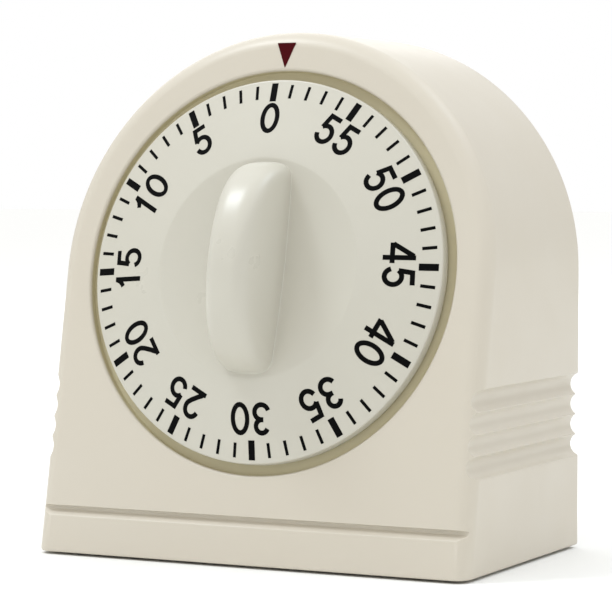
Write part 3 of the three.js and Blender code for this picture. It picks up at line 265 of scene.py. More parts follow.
def filled(points):
    """A flat face through points, as a bmesh."""
    bm = bmesh.new()
    corners = [bm.verts.new(p) for p in points]
    edges = [bm.edges.new(pair) for pair in zip(corners, corners[1:] + corners[:1])]
    bmesh.ops.edgeloop_fill(bm, edges=edges)
    return bm


def rounded(bm, geom, radius, segments, affect="EDGES"):
    """Rounds edges of a solid, or corners of a flat face."""
    bmesh.ops.bevel(
        bm,
        geom=geom,
        offset=radius,
        offset_type="OFFSET",
        segments=segments,
        profile=0.5,
        affect=affect,
        material=-1,
    )


def rounded_corners(bm, places, radius, segments):
    """Rounds the corners of a flat face that stand at places."""
    corners = [v for v in bm.verts if any((v.co - Vector(p)).length < NEAR for p in places)]
    rounded(bm, corners, radius, segments, "VERTICES")
    return bm


def pulled(bm, shift):
    """Extrudes a flat face into a solid."""
    result = bmesh.ops.extrude_face_region(bm, geom=bm.faces[:])
    moved = [g for g in result["geom"] if isinstance(g, bmesh.types.BMVert)]
    bmesh.ops.translate(bm, verts=moved, vec=shift)
    return closed(bm)


def turned(section, steps=96, axis_shift=(0, 0)):
    """A solid of revolution round Z. The section runs from axis to axis as (radius, height)."""
    bm = bmesh.new()
    line = [bm.verts.new((r, 0, z)) for r, z in section]
    edges = [bm.edges.new(pair) for pair in zip(line, line[1:])]
    bmesh.ops.spin(
        bm, geom=line + edges, axis=(0, 0, 1), angle=math.tau, steps=steps, use_merge=True
    )
    bmesh.ops.translate(bm, verts=bm.verts, vec=(*axis_shift, 0))
    return closed(bm)


def rod(radius, low, high, at=(0, 0), steps=48):
    """A round bar along Z."""
    return turned([(0, low), (radius, low), (radius, high), (0, high)], steps, at)


def oval(x, y, across, up, start, end, count):
    """Points on an oval arc from start to end degrees, as (across, up)."""
    angles = [math.radians(start + (end - start) * k / count) for k in range(count + 1)]
    return [(x + across * math.cos(a), y + up * math.sin(a)) for a in angles]


def quarter(centre, radius, start, end, count=5):
    """Points on a round arc from start to end degrees, as (across, up)."""
    return oval(*centre, radius, radius, start, end, count)


def cuboid(low, high):
    """A box between two corners."""
    bm = bmesh.new()
    bmesh.ops.create_cube(bm, size=1)
    low, high = Vector(low), Vector(high)
    bmesh.ops.scale(bm, verts=bm.verts, vec=high - low)
    bmesh.ops.translate(bm, verts=bm.verts, vec=(low + high) / 2)
    return bm


def carved(bm, joins=(), cuts=()):
    """A solid with other solids joined to it, then cut out of it."""
    body = as_object(bm)
    tools = []
    for operation, solids in (("UNION", joins), ("DIFFERENCE", cuts)):
        for solid in solids:
            tool = as_object(solid)
            step = body.modifiers.new("step", "BOOLEAN")
            step.operation = operation
            step.solver = "EXACT"
            step.object = tool
            tools.append(tool)
    graph = bpy.context.evaluated_depsgraph_get()
    result = bmesh.new()
    result.from_mesh(body.evaluated_get(graph).to_mesh())
    for spent in [body, *tools]:
        mesh = spent.data
        bpy.data.objects.remove(spent)
        bpy.data.meshes.remove(mesh)
    if not result.faces:
        raise RuntimeError("a cut left nothing of the piece")
    bmesh.ops.remove_doubles(result, verts=result.verts, dist=MERGE)
    bmesh.ops.dissolve_degenerate(result, edges=result.edges, dist=MERGE)
    return result


def moved(bm, place):
    """The same bmesh, moved by a matrix."""
    bm.transform(place)
    return bm


# ---- finishes
def plug(tree, made, inputs):
    """Links or sets the inputs of a shader node."""
    for name, value in inputs.items():
        if isinstance(value, bpy.types.NodeSocket):
            tree.links.new(value, made.inputs[name])
        else:
            made.inputs[name].default_value = value


def node(tree, kind, inputs=None, **settings):
    """Adds a shader node with its settings and its inputs."""
    made = tree.nodes.new(kind)
    for name, value in settings.items():
        setattr(made, name, value)
    plug(tree, made, inputs or {})
    return made


def noise(tree, where, size_mm, detail):
    """A soft random pattern whose features are size_mm apart."""
    inputs = {"Vector": where, "Scale": 1 / (size_mm * MM), "Detail": detail}
    return node(tree, "ShaderNodeTexNoise", inputs).outputs["Fac"]


def blend(tree, pattern, colour, darkest, lightest):
    """A colour that a pattern varies between two shares of itself. A share is one number, or one
    for each of red, green and blue."""
    ends = []
    for share in (darkest, lightest):
        shares = share if isinstance(share, tuple) else (share,) * 3
        ends.append((*(c * part for c, part in zip(colour, shares)), 1))
    inputs = {0: pattern, 6: ends[0], 7: ends[1]}
    return node(tree, "ShaderNodeMix", inputs, data_type="RGBA").outputs[2]


def stretched(tree, pattern, low, high):
    """The middle part of a pattern, stretched to run from low to high."""
    inputs = {"Value": pattern, "From Min": 0.3, "From Max": 0.7, "To Min": low, "To Max": high}
    return node(tree, "ShaderNodeMapRange", inputs).outputs["Result"]


def relief(tree, pattern, strength, depth_mm):
    """A pattern as fine relief."""
    inputs = {"Height": pattern, "Strength": strength, "Distance": depth_mm * MM}
    return node(tree, "ShaderNodeBump", inputs).outputs["Normal"]


def new_finish(name):
    """An empty material, its node tree, its shader and its object coordinates."""
    material = bpy.data.materials.new(name)
    material.use_nodes = True
    tree = material.node_tree
    tree.nodes.clear()
    shader = node(tree, "ShaderNodeBsdfPrincipled")
    node(tree, "ShaderNodeOutputMaterial", {"Surface": shader.outputs["BSDF"]})
    where = node(tree, "ShaderNodeTexCoord").outputs["Object"]
    return material, tree, shader, where


CLOUD_MM = 42  # size of the clouds that flow leaves in a moulding
HANDLED_MM = 11  # size of the patches that hands have polished
YELLOWED = (0.96, 0.9456, 0.912)  # shares of red, green and blue left in an aged patch


def moulded_plastic(name, colour, grain_mm, grain_depth, gloss_low, gloss_high):
    """Injection-moulded ABS. The tool's spark-eroded grain breaks up the gloss, and flow in the
    mould leaves faint clouds."""
    material, tree, shader, where = new_finish(name)
    clouds = noise(tree, where, CLOUD_MM, 3.0)
    grain = noise(tree, where, grain_mm, 2.0)
    handled = noise(tree, where, HANDLED_MM, 4.0)
    plug(tree, shader, {
        "Base Color": blend(tree, clouds, colour, 1.0, YELLOWED),
        "Roughness": stretched(tree, handled, gloss_low, gloss_high),
        "Normal": relief(tree, grain, 1.0, grain_depth),
        "IOR": 1.53,
    })
    return material


def screen_ink(name, colour, roughness):
    """Screen-printed ink on plastic: nearly matt, with pinholes and thin spots from the mesh."""
    material, tree, shader, where = new_finish(name)
    mesh_marks = noise(tree, where, 0.4, 2.0)
    plug(tree, shader, {
        "Base Color": blend(tree, mesh_marks, colour, 1.0, 1.7),
        "Normal": relief(tree, mesh_marks, 0.5, 0.01),
        "Roughness": roughness,
        "Specular IOR Level": 0.06,
    })
    return material


def moulded_rubber(name, colour):
    """Moulded nitrile rubber: matt and faintly mottled, with a dusty bloom."""
    material, tree, shader, where = new_finish(name)
    mottle = noise(tree, where, 0.9, 4.0)
    plug(tree, shader, {
        "Base Color": blend(tree, mottle, colour, 0.8, 1.9),
        "Normal": relief(tree, mottle, 0.6, 0.03),
        "Roughness": 0.82,
    })
    return material


def metal(name, colour, stretch, line_mm, rough_low, rough_high, tarnish=0.8):
    """A bare or plated metal. Its working marks run along the long side of a stretched noise, and a
    slower noise tarnishes it."""
    material, tree, shader, where = new_finish(name)
    along = node(tree, "ShaderNodeMapping", {"Vector": where, "Scale": stretch})
    marks = noise(tree, along.outputs["Vector"], line_mm, 3.0)
    stain = noise(tree, where, 6, 4.0)
    plug(tree, shader, {
        "Base Color": blend(tree, stain, colour, 1.0, tarnish),
        "Roughness": stretched(tree, marks, rough_low, rough_high),
        "Normal": relief(tree, marks, 0.4, 0.01),
        "Metallic": 1.0,
    })
    return material


INK = "dial_ink"
RECESS = "case_recess"
FINISHES = {}


def make_finishes(colours):
    """Every material of the timer, by the record's slot name."""
    return {
        # satin ABS, drawn with a grain coarse enough to show
        "case_abs": moulded_plastic("moulded_case_ABS", colours.case, 0.5, 0.006, 0.34, 0.44),
        # the same moulding in the gap round the dial, darker and yellower as painted shade for the
        # shadowed gap, and rougher
        RECESS: moulded_plastic("shaded_recess_case_ABS", colours.recess, 0.5, 0.006, 0.5, 0.7),
        # the dial's tool is polished finer, so the grip takes a clearer highlight
        "dial_abs": moulded_plastic("moulded_dial_ABS", colours.dial, 0.6, 0.004, 0.27, 0.36),
        # the scale is screen printed, the pointer pad printed, both in matt ink
        INK: screen_ink("screen_printed_black_ink", colours.ink, 0.6),
        "pointer_red": screen_ink("pad_printed_maroon_ink", colours.pointer, 0.55),
        # dark nitrile rubber, moulded
        "foot_rubber": moulded_rubber("moulded_nitrile_rubber", colours.rubber),
        # rolled sheet, brushed along x
        "brass": metal("brushed_brass_sheet", colours.brass, (0.05, 1, 1), 0.25, 0.22, 0.38, 0.78),
        # turned on a lathe, with its marks drawn out along z
        "steel": metal("turned_carbon_steel", colours.steel, (1, 1, 0.1), 0.2, 0.25, 0.4),
        # bright zinc, barrel plated, so its marks run no particular way
        "zinc_screw": metal("zinc_plated_steel", colours.zinc, (1, 1, 1), 0.8, 0.28, 0.45, 0.85),
        # hardened strip, tempered to a blue oxide
        "spring_steel": metal("blued_spring_steel", colours.spring, (1, 1, 0.1), 0.3, 0.2, 0.32),
        # pressed sheet, polished and nickel plated
        "bell_nickel": metal(
            "nickel_plated_steel", colours.nickel, (1, 1, 0.2), 0.7, 0.1, 0.18, 0.92
        ),
    }


def finish(name):
    """A finish by its slot name, made the first time it is asked for."""
    if not FINISHES:
        FINISHES.update(make_finishes(bpy.context.scene.timer_finish))
    return FINISHES[name]


# ---- case
ARCH_STEPS = 96
PAST = 5  # how far a cutting solid reaches past what it cuts
SKIN = 0.02  # how far past a surface the lip of a cut starts
CLEAR = 0.05  # gap between the case and a part that stands against it
GROOVES = 4  # on each side of the case
BOSS_RADIUS = 3.2  # the bosses that carry the movement
POST_RADIUS = 3.4  # the posts that take the cover's screws
PILOT_RADIUS, PILOT_DEPTH = 1.4, 9  # the bores in those posts
SHAFT_HOLE_RADIUS, SHAFT_HOLE_DEPTH = 5.9, 20
PAD_THICKNESS, PAD_SINK, PAD_REACH, PAD_START = 1.4, 0.5, 4, 11  # the pads behind the side grooves


def arch_face(half, low, top, y=0.0):
    """A flat face with straight sides under a half-round top, standing at y."""
    bm = bmesh.new()
    shoulder = top - half
    start = bm.verts.new((half, y, shoulder))
    bmesh.ops.spin(
        bm,
        geom=[start],
        cent=(0, y, shoulder),
        axis=(0, -1, 0),
        angle=math.pi,
        steps=ARCH_STEPS,
    )
    left = min(bm.verts, key=lambda v: v.co.x)
    feet = [bm.verts.new((-half, y, low)), bm.verts.new((half, y, low))]
    for pair in ((left, feet[0]), feet, (feet[1], start)):
        bm.edges.new(pair)
    bmesh.ops.edgeloop_fill(bm, edges=bm.edges[:])
    return bm


def lean_cut(bm, inset):
    """Cuts a solid off along the leaning front, inset behind it, and closes it."""
    normal = OUTWARD
    point = DIAL_CENTRE / MM - normal * inset
    everything = bm.verts[:] + bm.edges[:] + bm.faces[:]
    result = bmesh.ops.bisect_plane(
        bm, geom=everything, plane_co=point, plane_no=normal, clear_outer=True
    )
    rim = [g for g in result["geom_cut"] if isinstance(g, bmesh.types.BMEdge)]
    bmesh.ops.edgeloop_fill(bm, edges=rim)
    return closed(bm)


def arch_solid(half, low, top, inset, rear):
    """The case's outline pulled from the leaning front to the rear."""
    front = CASE_LOW.y - PAST
    bm = pulled(arch_face(half, low, top, front), (0, rear - front, 0))
    return lean_cut(bm, inset)


def case_outside(s):
    """The case's outer form: rounded from the front to the sides and top, crisp at the base."""
    bm = arch_solid(CASE_HIGH.x, CASE_LOW.z, CASE_HIGH.z, 0, CASE_HIGH.y)
    point = DIAL_CENTRE / MM

    def on_front(v):
        return abs((v.co - point).dot(OUTWARD)) < NEAR

    def on_base(v):
        return abs(v.co.z - CASE_LOW.z) < NEAR

    def on_rear(v):
        return abs(v.co.y - CASE_HIGH.y) < NEAR

    front = [e for e in bm.edges if all(map(on_front, e.verts)) and not all(map(on_base, e.verts))]
    rounded(bm, front, s.front_round, 8)
    small = [e for e in bm.edges if all(map(on_base, e.verts)) or all(map(on_rear, e.verts))]
    rounded(bm, small, s.small_round, 3)
    return closed(bm)


def well_cutter(s):
    """The dial's well, with a rounded rim that flares on to the front."""
    lip = s.well_lip
    rim = [(s.well_radius + lip - x, z) for x, z in quarter((0, -lip), lip, 0, 90, 6)]
    floor = -s.well_depth
    corner = 0.3
    section = [(0, floor), *quarter((s.well_radius - corner, floor + corner), corner, -90, 0, 4)]
    section += rim + [(s.well_radius + lip, PAST), (0, PAST)]
    return turned(section, 192)


def base_groove_cutter(s):
    """A bar along the front: square above, sloping out to a soft lip below."""
    top = FACE_FOOT + s.base_groove_top
    low = top - s.base_groove_height
    deep = -s.base_groove_depth
    flat = s.base_groove_flat
    past = CASE_HIGH.x + PAST
    ahead, lead = 2, 0.6  # the bar stands this far out of the front, and runs on below its lip
    outline = [(top, ahead), (top, deep), (top - flat, deep), (low, SKIN)]
    outline += [(low - lead, SKIN), (low - lead, ahead)]
    points = [(-past, up, out) for up, out in outline]
    bm = filled(points)
    rounded_corners(bm, points[1:3], 0.15, 3)
    rounded_corners(bm, points[3:4], 0.25, 4)
    return pulled(bm, (2 * past, 0, 0))


def rib_cutter(s, side):
    """Scooped grooves with rounded ridges between them, as one bar from front to rear."""
    half = CASE_HIGH.x
    centre = half - s.rib_depth + s.rib_radius
    rows = [CASE_LOW.z + s.rib_top - k * s.rib_pitch for k in range(GROOVES)]
    end = math.degrees(math.acos((s.rib_radius - s.rib_depth - SKIN) / s.rib_radius))
    cusp = math.degrees(math.asin(s.rib_pitch / 2 / s.rib_radius))
    outline = []
    corners = []
    for k, z in enumerate(rows):
        start = 180 - (end if k == 0 else cusp)
        stop = 180 + (end if k == len(rows) - 1 else cusp)
        arc = quarter((centre, z), s.rib_radius, start, stop, 14)
        corners.append(arc[0])
        outline += arc if k == 0 else arc[1:]
    corners.append(outline[-1])
    reach = 1.0  # of the bar, above the first groove and below the last
    far = half + 6
    outline = [(far, outline[0][1] + reach), (half + SKIN, outline[0][1] + reach), *outline]
    outline += [(half + SKIN, outline[-1][1] - reach), (far, outline[-1][1] - reach)]
    front, rear = CASE_LOW.y - PAST, CASE_HIGH.y + PAST
    bm = filled([(side * x, front, z) for x, z in outline])
    rounded_corners(bm, [(side * x, front, z) for x, z in corners], s.rib_round, 4)
    return pulled(bm, (0, rear - front, 0))


def screw_places():
    """The cover screws' middles, as (x, z)."""
    places = []
    for k in range(1, 5):
        low, high = row_box(f"cover_screw_{k}")
        places.append(((low.x + high.x) / 2, (low.z + high.z) / 2))
    return places


ALONG_Y = Matrix.Rotation(-math.pi / 2, 4, "X")  # Z of a turned piece becomes the row frame's Y


def front_depth(z):
    """Where the leaning front stands at a height, in the row frame's millimetres."""
    return DIAL_CENTRE.y / MM + (z - DIAL_CENTRE.z / MM) * OUTWARD.z / -OUTWARD.y


def rod_along_y(radius, low, high, x, z, steps=32):
    """A round bar along Y between two depths."""
    place = Matrix.Translation((x, 0, z)) @ ALONG_Y
    return moved(rod(radius, low, high, steps=steps), place)


def in_face(bm):
    """Moves a solid from the dial's own space to the row frame, both in millimetres."""
    return moved(bm, ROW_MM.inverted() @ FACE_MM)


def case_shell_mesh(s):
    """The whole housing: the outer form, hollowed, with its dial cup, bosses, posts and pads."""
    half = CASE_HIGH.x
    wall = s.wall
    outside = case_outside(s)
    room = arch_solid(half - wall, CASE_LOW.z + wall, CASE_HIGH.z - wall, wall, CASE_HIGH.y + PAST)
    shell = carved(outside, cuts=[room])
    cup_back = -s.well_depth - wall
    joins = [in_face(rod(s.well_radius + wall, cup_back, -wall / 2, steps=96))]
    boss_end = face_box("front_plate")[1].z + CLEAR
    for k in range(1, 4):
        low, high = face_box(f"movement_screw_{k}")
        middle = (low + high) / 2
        joins.append(in_face(rod(BOSS_RADIUS, boss_end, cup_back + 0.1, (middle.x, middle.y), 32)))
    post_end = COVER_LOW.y - CLEAR
    pads_low = CASE_LOW.z + s.rib_top - (GROOVES - 1) * s.rib_pitch - PAD_REACH
    pads_high = CASE_LOW.z + s.rib_top + PAD_REACH
    for side in (-1, 1):
        near, far = half - wall - PAD_THICKNESS, half - wall + PAD_SINK
        left, right = sorted((side * near, side * far))
        joins.append(cuboid((left, CASE_LOW.y + PAD_START, pads_low), (right, post_end, pads_high)))
    for x, z in screw_places():
        start = front_depth(z + POST_RADIUS) + wall / 2
        joins.append(rod_along_y(POST_RADIUS, start, post_end, x, z))
    cuts = [
        in_face(well_cutter(s)),
        in_face(rod(SHAFT_HOLE_RADIUS, -SHAFT_HOLE_DEPTH, PAST)),
        in_face(base_groove_cutter(s)),
        rib_cutter(s, -1),
        rib_cutter(s, 1),
    ]
    for k in range(1, 5):
        low, high = row_box(f"foot_{k}")
        middle = (low + high) / 2
        radius = (high.x - low.x) / 2 + FOOT_GAP
        cuts.append(rod(radius, -2, high.z + CLEAR, (middle.x, middle.y)))
    for x, z in screw_places():
        cuts.append(rod_along_y(PILOT_RADIUS, COVER_LOW.y - PILOT_DEPTH, COVER_LOW.y + 1, x, z))
    return carved(shell, joins, cuts)


class TIMER_OT_case_shell(bpy.types.Operator):
    """Builds the moulded case with its round top, leaning front, grooves and dial well"""

    bl_idname = "timer.case_shell"
    bl_label = "Case shell"

    def execute(self, context):
        s = context.scene.timer_case
        bm = case_shell_mesh(s)
        to_face = FACE_MM.inverted() @ ROW_MM
        # the well's floor and wall take the recess finish, whose darker colour is painted shade in
        # the gap
        for face in bm.faces:
            middle = to_face @ face.calc_center_median()
            in_well = middle.xy.length < s.well_radius + 0.1
            if in_well and -s.well_depth - 0.1 < middle.z < -s.well_lip:
                face.material_index = 1
        looks = ["case_abs", RECESS]
        shown(bm, "case_shell", "case", ROW_MM, "case_abs", looks, replaces=["housing"])
        return {"FINISHED"}


THROUGH = 2  # how far a cut runs past the cover's faces
COVER_EDGE = 0.4
SLOT_FIELD = 17.0  # radius of the round field of sound slots
SLOT_DROP = 8  # how far the field's middle stands below the dial's
SLOT_PITCH, SLOT_HEIGHT, SLOT_ROWS = 4.4, 2.2, 7
HEAD_RADIUS, HEAD_HEIGHT = 2.6, 1.3  # a cover screw's head
SINK_RADIUS, SINK_DEPTH, SINK_EDGE = 2.9, 1.4, 0.3  # the recess that the head sits in
SCREW_HOLE_RADIUS = 1.6


def rear_cover_mesh():
    """The flat rear cover with its sound slots and screw recesses."""
    thickness = COVER_HIGH.y - COVER_LOW.y
    plate = arch_face(COVER_HIGH.x, COVER_LOW.z, COVER_HIGH.z, COVER_LOW.y)
    plate = pulled(plate, (0, thickness, 0))
    edges = [e for e in plate.edges if all(abs(v.co.y - COVER_HIGH.y) < NEAR for v in e.verts)]
    rounded(plate, edges, COVER_EDGE, 3)
    middle = DIAL_CENTRE.z / MM - SLOT_DROP
    end = SLOT_HEIGHT / 2
    inside = COVER_LOW.y - THROUGH
    cuts = []
    for k in range(SLOT_ROWS):
        rise = (k - (SLOT_ROWS - 1) / 2) * SLOT_PITCH
        reach = math.sqrt(SLOT_FIELD**2 - rise**2) - end
        outline = quarter((reach, rise), end, -90, 90, 8) + quarter((-reach, rise), end, 90, 270, 8)
        bm = filled([(x, inside, middle + up) for x, up in outline])
        cuts.append(pulled(bm, (0, thickness + 2 * THROUGH, 0)))
    top = COVER_HIGH.y
    floor, shoulder = top - SINK_DEPTH, top - SINK_EDGE
    sink = [(0, floor), (SINK_RADIUS, floor), (SINK_RADIUS, shoulder)]
    sink += [(SINK_RADIUS + SINK_EDGE, top), (SINK_RADIUS + SINK_EDGE, top + THROUGH)]
    sink += [(0, top + THROUGH)]
    for x, z in screw_places():
        cuts.append(moved(turned(sink, 48), Matrix.Translation((x, 0, z)) @ ALONG_Y))
        cuts.append(rod_along_y(SCREW_HOLE_RADIUS, inside, top, x, z))
    return carved(plate, cuts=cuts)


class TIMER_OT_rear_cover(bpy.types.Operator):
    """Builds the rear cover with its sound slots"""

    bl_idname = "timer.rear_cover"
    bl_label = "Rear cover"

    def execute(self, context):
        bm = rear_cover_mesh()
        shown(bm, "rear_cover_plate", "case", ROW_MM, "case_abs", replaces=["rear_cover"])
        return {"FINISHED"}


def pan_head_screw(length):
    """A pan-head screw along Z with its crown at height 0 and a tapered cross recess."""
    crown = 0.7  # radius of the head's edge
    shank, root, pitch = 1.2, 1.02, 1.0  # radius over and under the thread, and its pitch
    point, plain = 0.8, 1.2  # length of the point, and how much of the shank has no thread
    tip = -HEAD_HEIGHT - length
    section = [(0, tip), (shank * 0.5, tip), (shank, tip + point)]
    for k in range(int((length - plain) / pitch)):
        low = tip + point + 0.1 + k * pitch
        section += [(root, low + 0.15), (shank, low + 0.5), (root, low + 0.85)]
    section += [(shank, -HEAD_HEIGHT), (HEAD_RADIUS, -HEAD_HEIGHT)]
    section += [*quarter((HEAD_RADIUS - crown, -crown), crown, 0, 90, 5), (0, 0.0)]
    reach, half, depth = 1.45, 0.27, 0.9  # one wing of the cross
    wings = []
    for turn in (0, 90):
        wing = cuboid((-reach, -half, -depth), (reach, half, 1))
        bmesh.ops.scale(wing, verts=[v for v in wing.verts if v.co.z < 0], vec=(0.55, 0.8, 1))
        wings.append(moved(wing, Matrix.Rotation(math.radians(turn), 4, "Z")))
    return carved(turned(section, 48), cuts=wings)


class TIMER_OT_cover_screws(bpy.types.Operator):
    """Builds the four screws that hold the rear cover"""

    bl_idname = "timer.cover_screws"
    bl_label = "Cover screws"

    def execute(self, context):
        for k, (x, z) in enumerate(screw_places(), 1):
            low, high = row_box(f"cover_screw_{k}")
            bm = pan_head_screw(high.y - low.y - HEAD_HEIGHT)
            # each screw came tight at its own angle
            tight = Matrix.Rotation(math.radians(23 + 67 * k), 4, "Z")
            place = Matrix.Translation((x, high.y, z)) @ ALONG_Y @ tight
            name, cad = f"case_screw_{k}", f"cover_screw_{k}"
            shown(moved(bm, place), name, "case", ROW_MM, "zinc_screw", replaces=[cad])
        return {"FINISHED"}


FOOT_GAP = 0.06  # between a foot and the hole that it is pressed into
FOOT_EDGE, FOOT_RING, FOOT_HOLLOW = 0.3, 1.6, 0.12  # each foot stands on a ring round a hollow


class TIMER_OT_feet(bpy.types.Operator):
    """Builds the four rubber feet"""

    bl_idname = "timer.feet"
    bl_label = "Feet"

    def execute(self, context):
        for k in range(1, 5):
            low, high = row_box(f"foot_{k}")
            radius = (high.x - low.x) / 2
            inner, roof = radius - FOOT_RING, low.z + FOOT_HOLLOW
            section = [(0, roof), (inner, roof), (inner + 0.3, low.z)]
            section += quarter((radius - FOOT_EDGE, low.z + FOOT_EDGE), FOOT_EDGE, -90, 0, 4)
            section += [(radius, high.z), (0, high.z)]
            bm = turned(section, 64, ((low.x + high.x) / 2, (low.y + high.y) / 2))
            name, cad = f"rubber_foot_{k}", f"foot_{k}"
            shown(bm, name, "case", ROW_MM, "foot_rubber", replaces=[cad])
        return {"FINISHED"}


POINTER_CORNER = 0.12
POINTER_INK = 0.06  # thickness of the pointer's print


class TIMER_OT_pointer(bpy.types.Operator):
    """Builds the printed triangle that points at the scale"""

    bl_idname = "timer.pointer"
    bl_label = "Pointer"

    def execute(self, context):
        half = POINTER_HIGH.x
        tip, top = POINTER_LOW.y, POINTER_HIGH.y
        corners = [(0, tip, 0), (half, top, 0), (-half, top, 0)]
        triangle = rounded_corners(filled(corners), corners, POINTER_CORNER, 3)
        bm = pulled(triangle, (0, 0, POINTER_INK))
        shown(bm, "pointer_print", "case", FACE_MM, "pointer_red", replaces=["pointer_mark"])
        return {"FINISHED"}


# ---- dial
DIAL_STEPS = 256
CROWN_RINGS, FILLET_RINGS, DISH_RINGS = 40, 5, 24
# How square the fin is: 2 is a plain oval, and a large power a box.
FIN_END_POWER = 3.0
FIN_CROWN_POWER = 3.5


def fin_point(s, height, turn):
    """A point on the fin, at a height above the disc that it is cut from. The disc stands on edge:
    its two ends are blunt, and over its middle the sides run into a domed crown."""
    half = s.grip_length / 2
    crown = DIAL_HIGH.z - fin_centre(s)
    level = max(height, 0) / crown * half
    reach = math.sqrt(max(half**2 - level**2, 0))
    out = math.sqrt(max(half**2 - (reach * math.cos(turn)) ** 2, 1e-12))
    end_share = min(max((out - half) / s.grip_round + 1, 0), 1)
    blunt = (1 - end_share**FIN_END_POWER) ** (1 / FIN_END_POWER)
    domed = (1 - min(out / half, 1) ** FIN_CROWN_POWER) ** (1 / FIN_CROWN_POWER)
    across = s.grip_thickness / 2 * (blunt + (domed - blunt) * (level / out) ** 2)
    plan = Vector((math.copysign(across, math.cos(turn)), reach * math.sin(turn)))
    plan.rotate(Matrix.Rotation(-s.grip_turn, 2))
    return plan


def fin_centre(s):
    """Height of the middle of the fin's disc, level with the bottom of the dish."""
    return s.proud + s.rise - s.dish_depth


def face_height(s, radius):
    """Height of the dial above the case's front: a shallow cone with a dish in its middle, and a
    slightly softened edge between them."""
    crest = s.proud + s.rise
    run = DIAL_HIGH.x - s.edge_round - s.dish_radius
    cone = crest - s.rise * (radius - s.dish_radius) / run
    dish = crest - s.dish_depth * math.cos(radius / s.dish_radius * math.pi / 2)
    return (cone + dish - math.hypot(cone - dish, s.rim_blend)) / 2


def fin_foot(s, turn):
    """Where the fin's side meets the dish: its plan, the way out from it and the dish's height."""
    fillet = s.grip_fillet
    ground = fin_centre(s)
    for _ in range(3):  # the fin spreads as it goes down, so its foot is found in a few steps
        plan = fin_point(s, ground + fillet - fin_centre(s), turn)
        ground = face_height(s, plan.length + fillet)
    step = 1e-3
    low = ground + fillet - fin_centre(s)
    along = fin_point(s, low, turn + step) - fin_point(s, low, turn - step)
    return plan, Vector((along.y, -along.x)).normalized(), ground


def dial_rings(s):
    """The dial's surface from the grip's crown outwards, over the rim and back to the shaft's bore.
    Each ring is a list of points, one for each step round the dial."""
    turns = [math.tau * k / DIAL_STEPS for k in range(DIAL_STEPS)]
    fillet = s.grip_fillet
    feet = [(turn, *fin_foot(s, turn)) for turn in turns]
    rings = []
    for k in range(CROWN_RINGS):
        drop = 1 - math.cos(math.pi / 2 * k / (CROWN_RINGS - 1))
        ring = []
        for turn, _, _, ground in feet:
            height = DIAL_HIGH.z - (DIAL_HIGH.z - ground - fillet) * drop
            plan = fin_point(s, height - fin_centre(s), turn)
            ring.append((plan.x, plan.y, height))
        rings.append(ring)
    for k in range(1, FILLET_RINGS + 1):
        angle = math.pi / 2 * k / FILLET_RINGS
        ring = []
        for _, plan, out, ground in feet:
            place = plan + out * fillet * (1 - math.cos(angle))
            ring.append((place.x, place.y, ground + fillet * (1 - math.sin(angle))))
        rings.append(ring)
    past = s.dish_radius - 0.2
    for k in range(1, DISH_RINGS + 1):
        share = math.sin(math.pi / 2 * k / DISH_RINGS)
        ring = []
        for turn, plan, out, _ in feet:
            end = Vector((math.cos(turn), math.sin(turn))) * past
            place = (plan + out * fillet).lerp(end, share)
            ring.append((place.x, place.y, face_height(s, place.length)))
        rings.append(ring)
    for radius, height in dial_section(s):
        rings.append([(radius * math.cos(turn), radius * math.sin(turn), height) for turn in turns])
    return rings


def dial_section(s):
    """The turned rest of the dial: the dish's edge, the printed cone, rim, back, hub and bore."""
    radius = DIAL_HIGH.x
    back = s.proud - s.thickness
    edge = s.edge_round
    hub, hub_edge = s.hub_radius, 0.3
    shaft = face_box("winding_shaft")[1]
    bore, end = shaft.x + 0.06, shaft.z + CLEAR
    across = [s.dish_radius + past for past in (-0.1, 0, 0.1, 0.2, 0.4, 0.8)]
    across += [s.dish_radius + (radius - edge - s.dish_radius) * k / 5 for k in range(1, 5)]
    section = [(r, face_height(s, r)) for r in across]
    section += quarter((radius - edge, s.proud - edge), edge, 80, 0, 5)
    section += quarter((radius - edge, back + edge), edge, 0, -90, 4)
    section += [(radius - s.thickness, back), (s.dish_radius, back + s.rise)]
    section += [(r, face_height(s, r) - s.thickness) for r in (s.dish_radius * 0.7, 10, hub)]
    section += [(hub, DIAL_LOW.z + hub_edge), (hub - hub_edge, DIAL_LOW.z)]
    return section + [(bore, DIAL_LOW.z), (bore, end), (0, end)]


def ring_net(rings):
    """A closed net of rings round Z: a line is spun into a flat net, then laid on the rings."""
    bm = bmesh.new()
    line = [bm.verts.new((k, 0, 0)) for k in range(len(rings))]
    edges = [bm.edges.new(pair) for pair in zip(line, line[1:])]
    steps = len(rings[0])
    bmesh.ops.spin(
        bm, geom=line + edges, axis=(0, 0, 1), angle=math.tau, steps=steps, use_merge=True
    )
    bmesh.ops.remove_doubles(bm, verts=bm.verts, dist=1e-5)
    for v in bm.verts:
        ring = round(v.co.xy.length)
        step = round(math.atan2(v.co.y, v.co.x) / math.tau * steps) % steps
        v.co = rings[ring][step]
    return closed(bm)


class TIMER_OT_dial(bpy.types.Operator):
    """Builds the dial with its shallow dish and the grip fin, as one moulding"""

    bl_idname = "timer.dial"
    bl_label = "Dial and grip"

    def execute(self, context):
        bm = ring_net(dial_rings(context.scene.timer_dial))
        shown(bm, "dial_moulding", "dial", FACE_MM, "dial_abs", replaces=["dial_knob"])
        return {"FINISHED"}


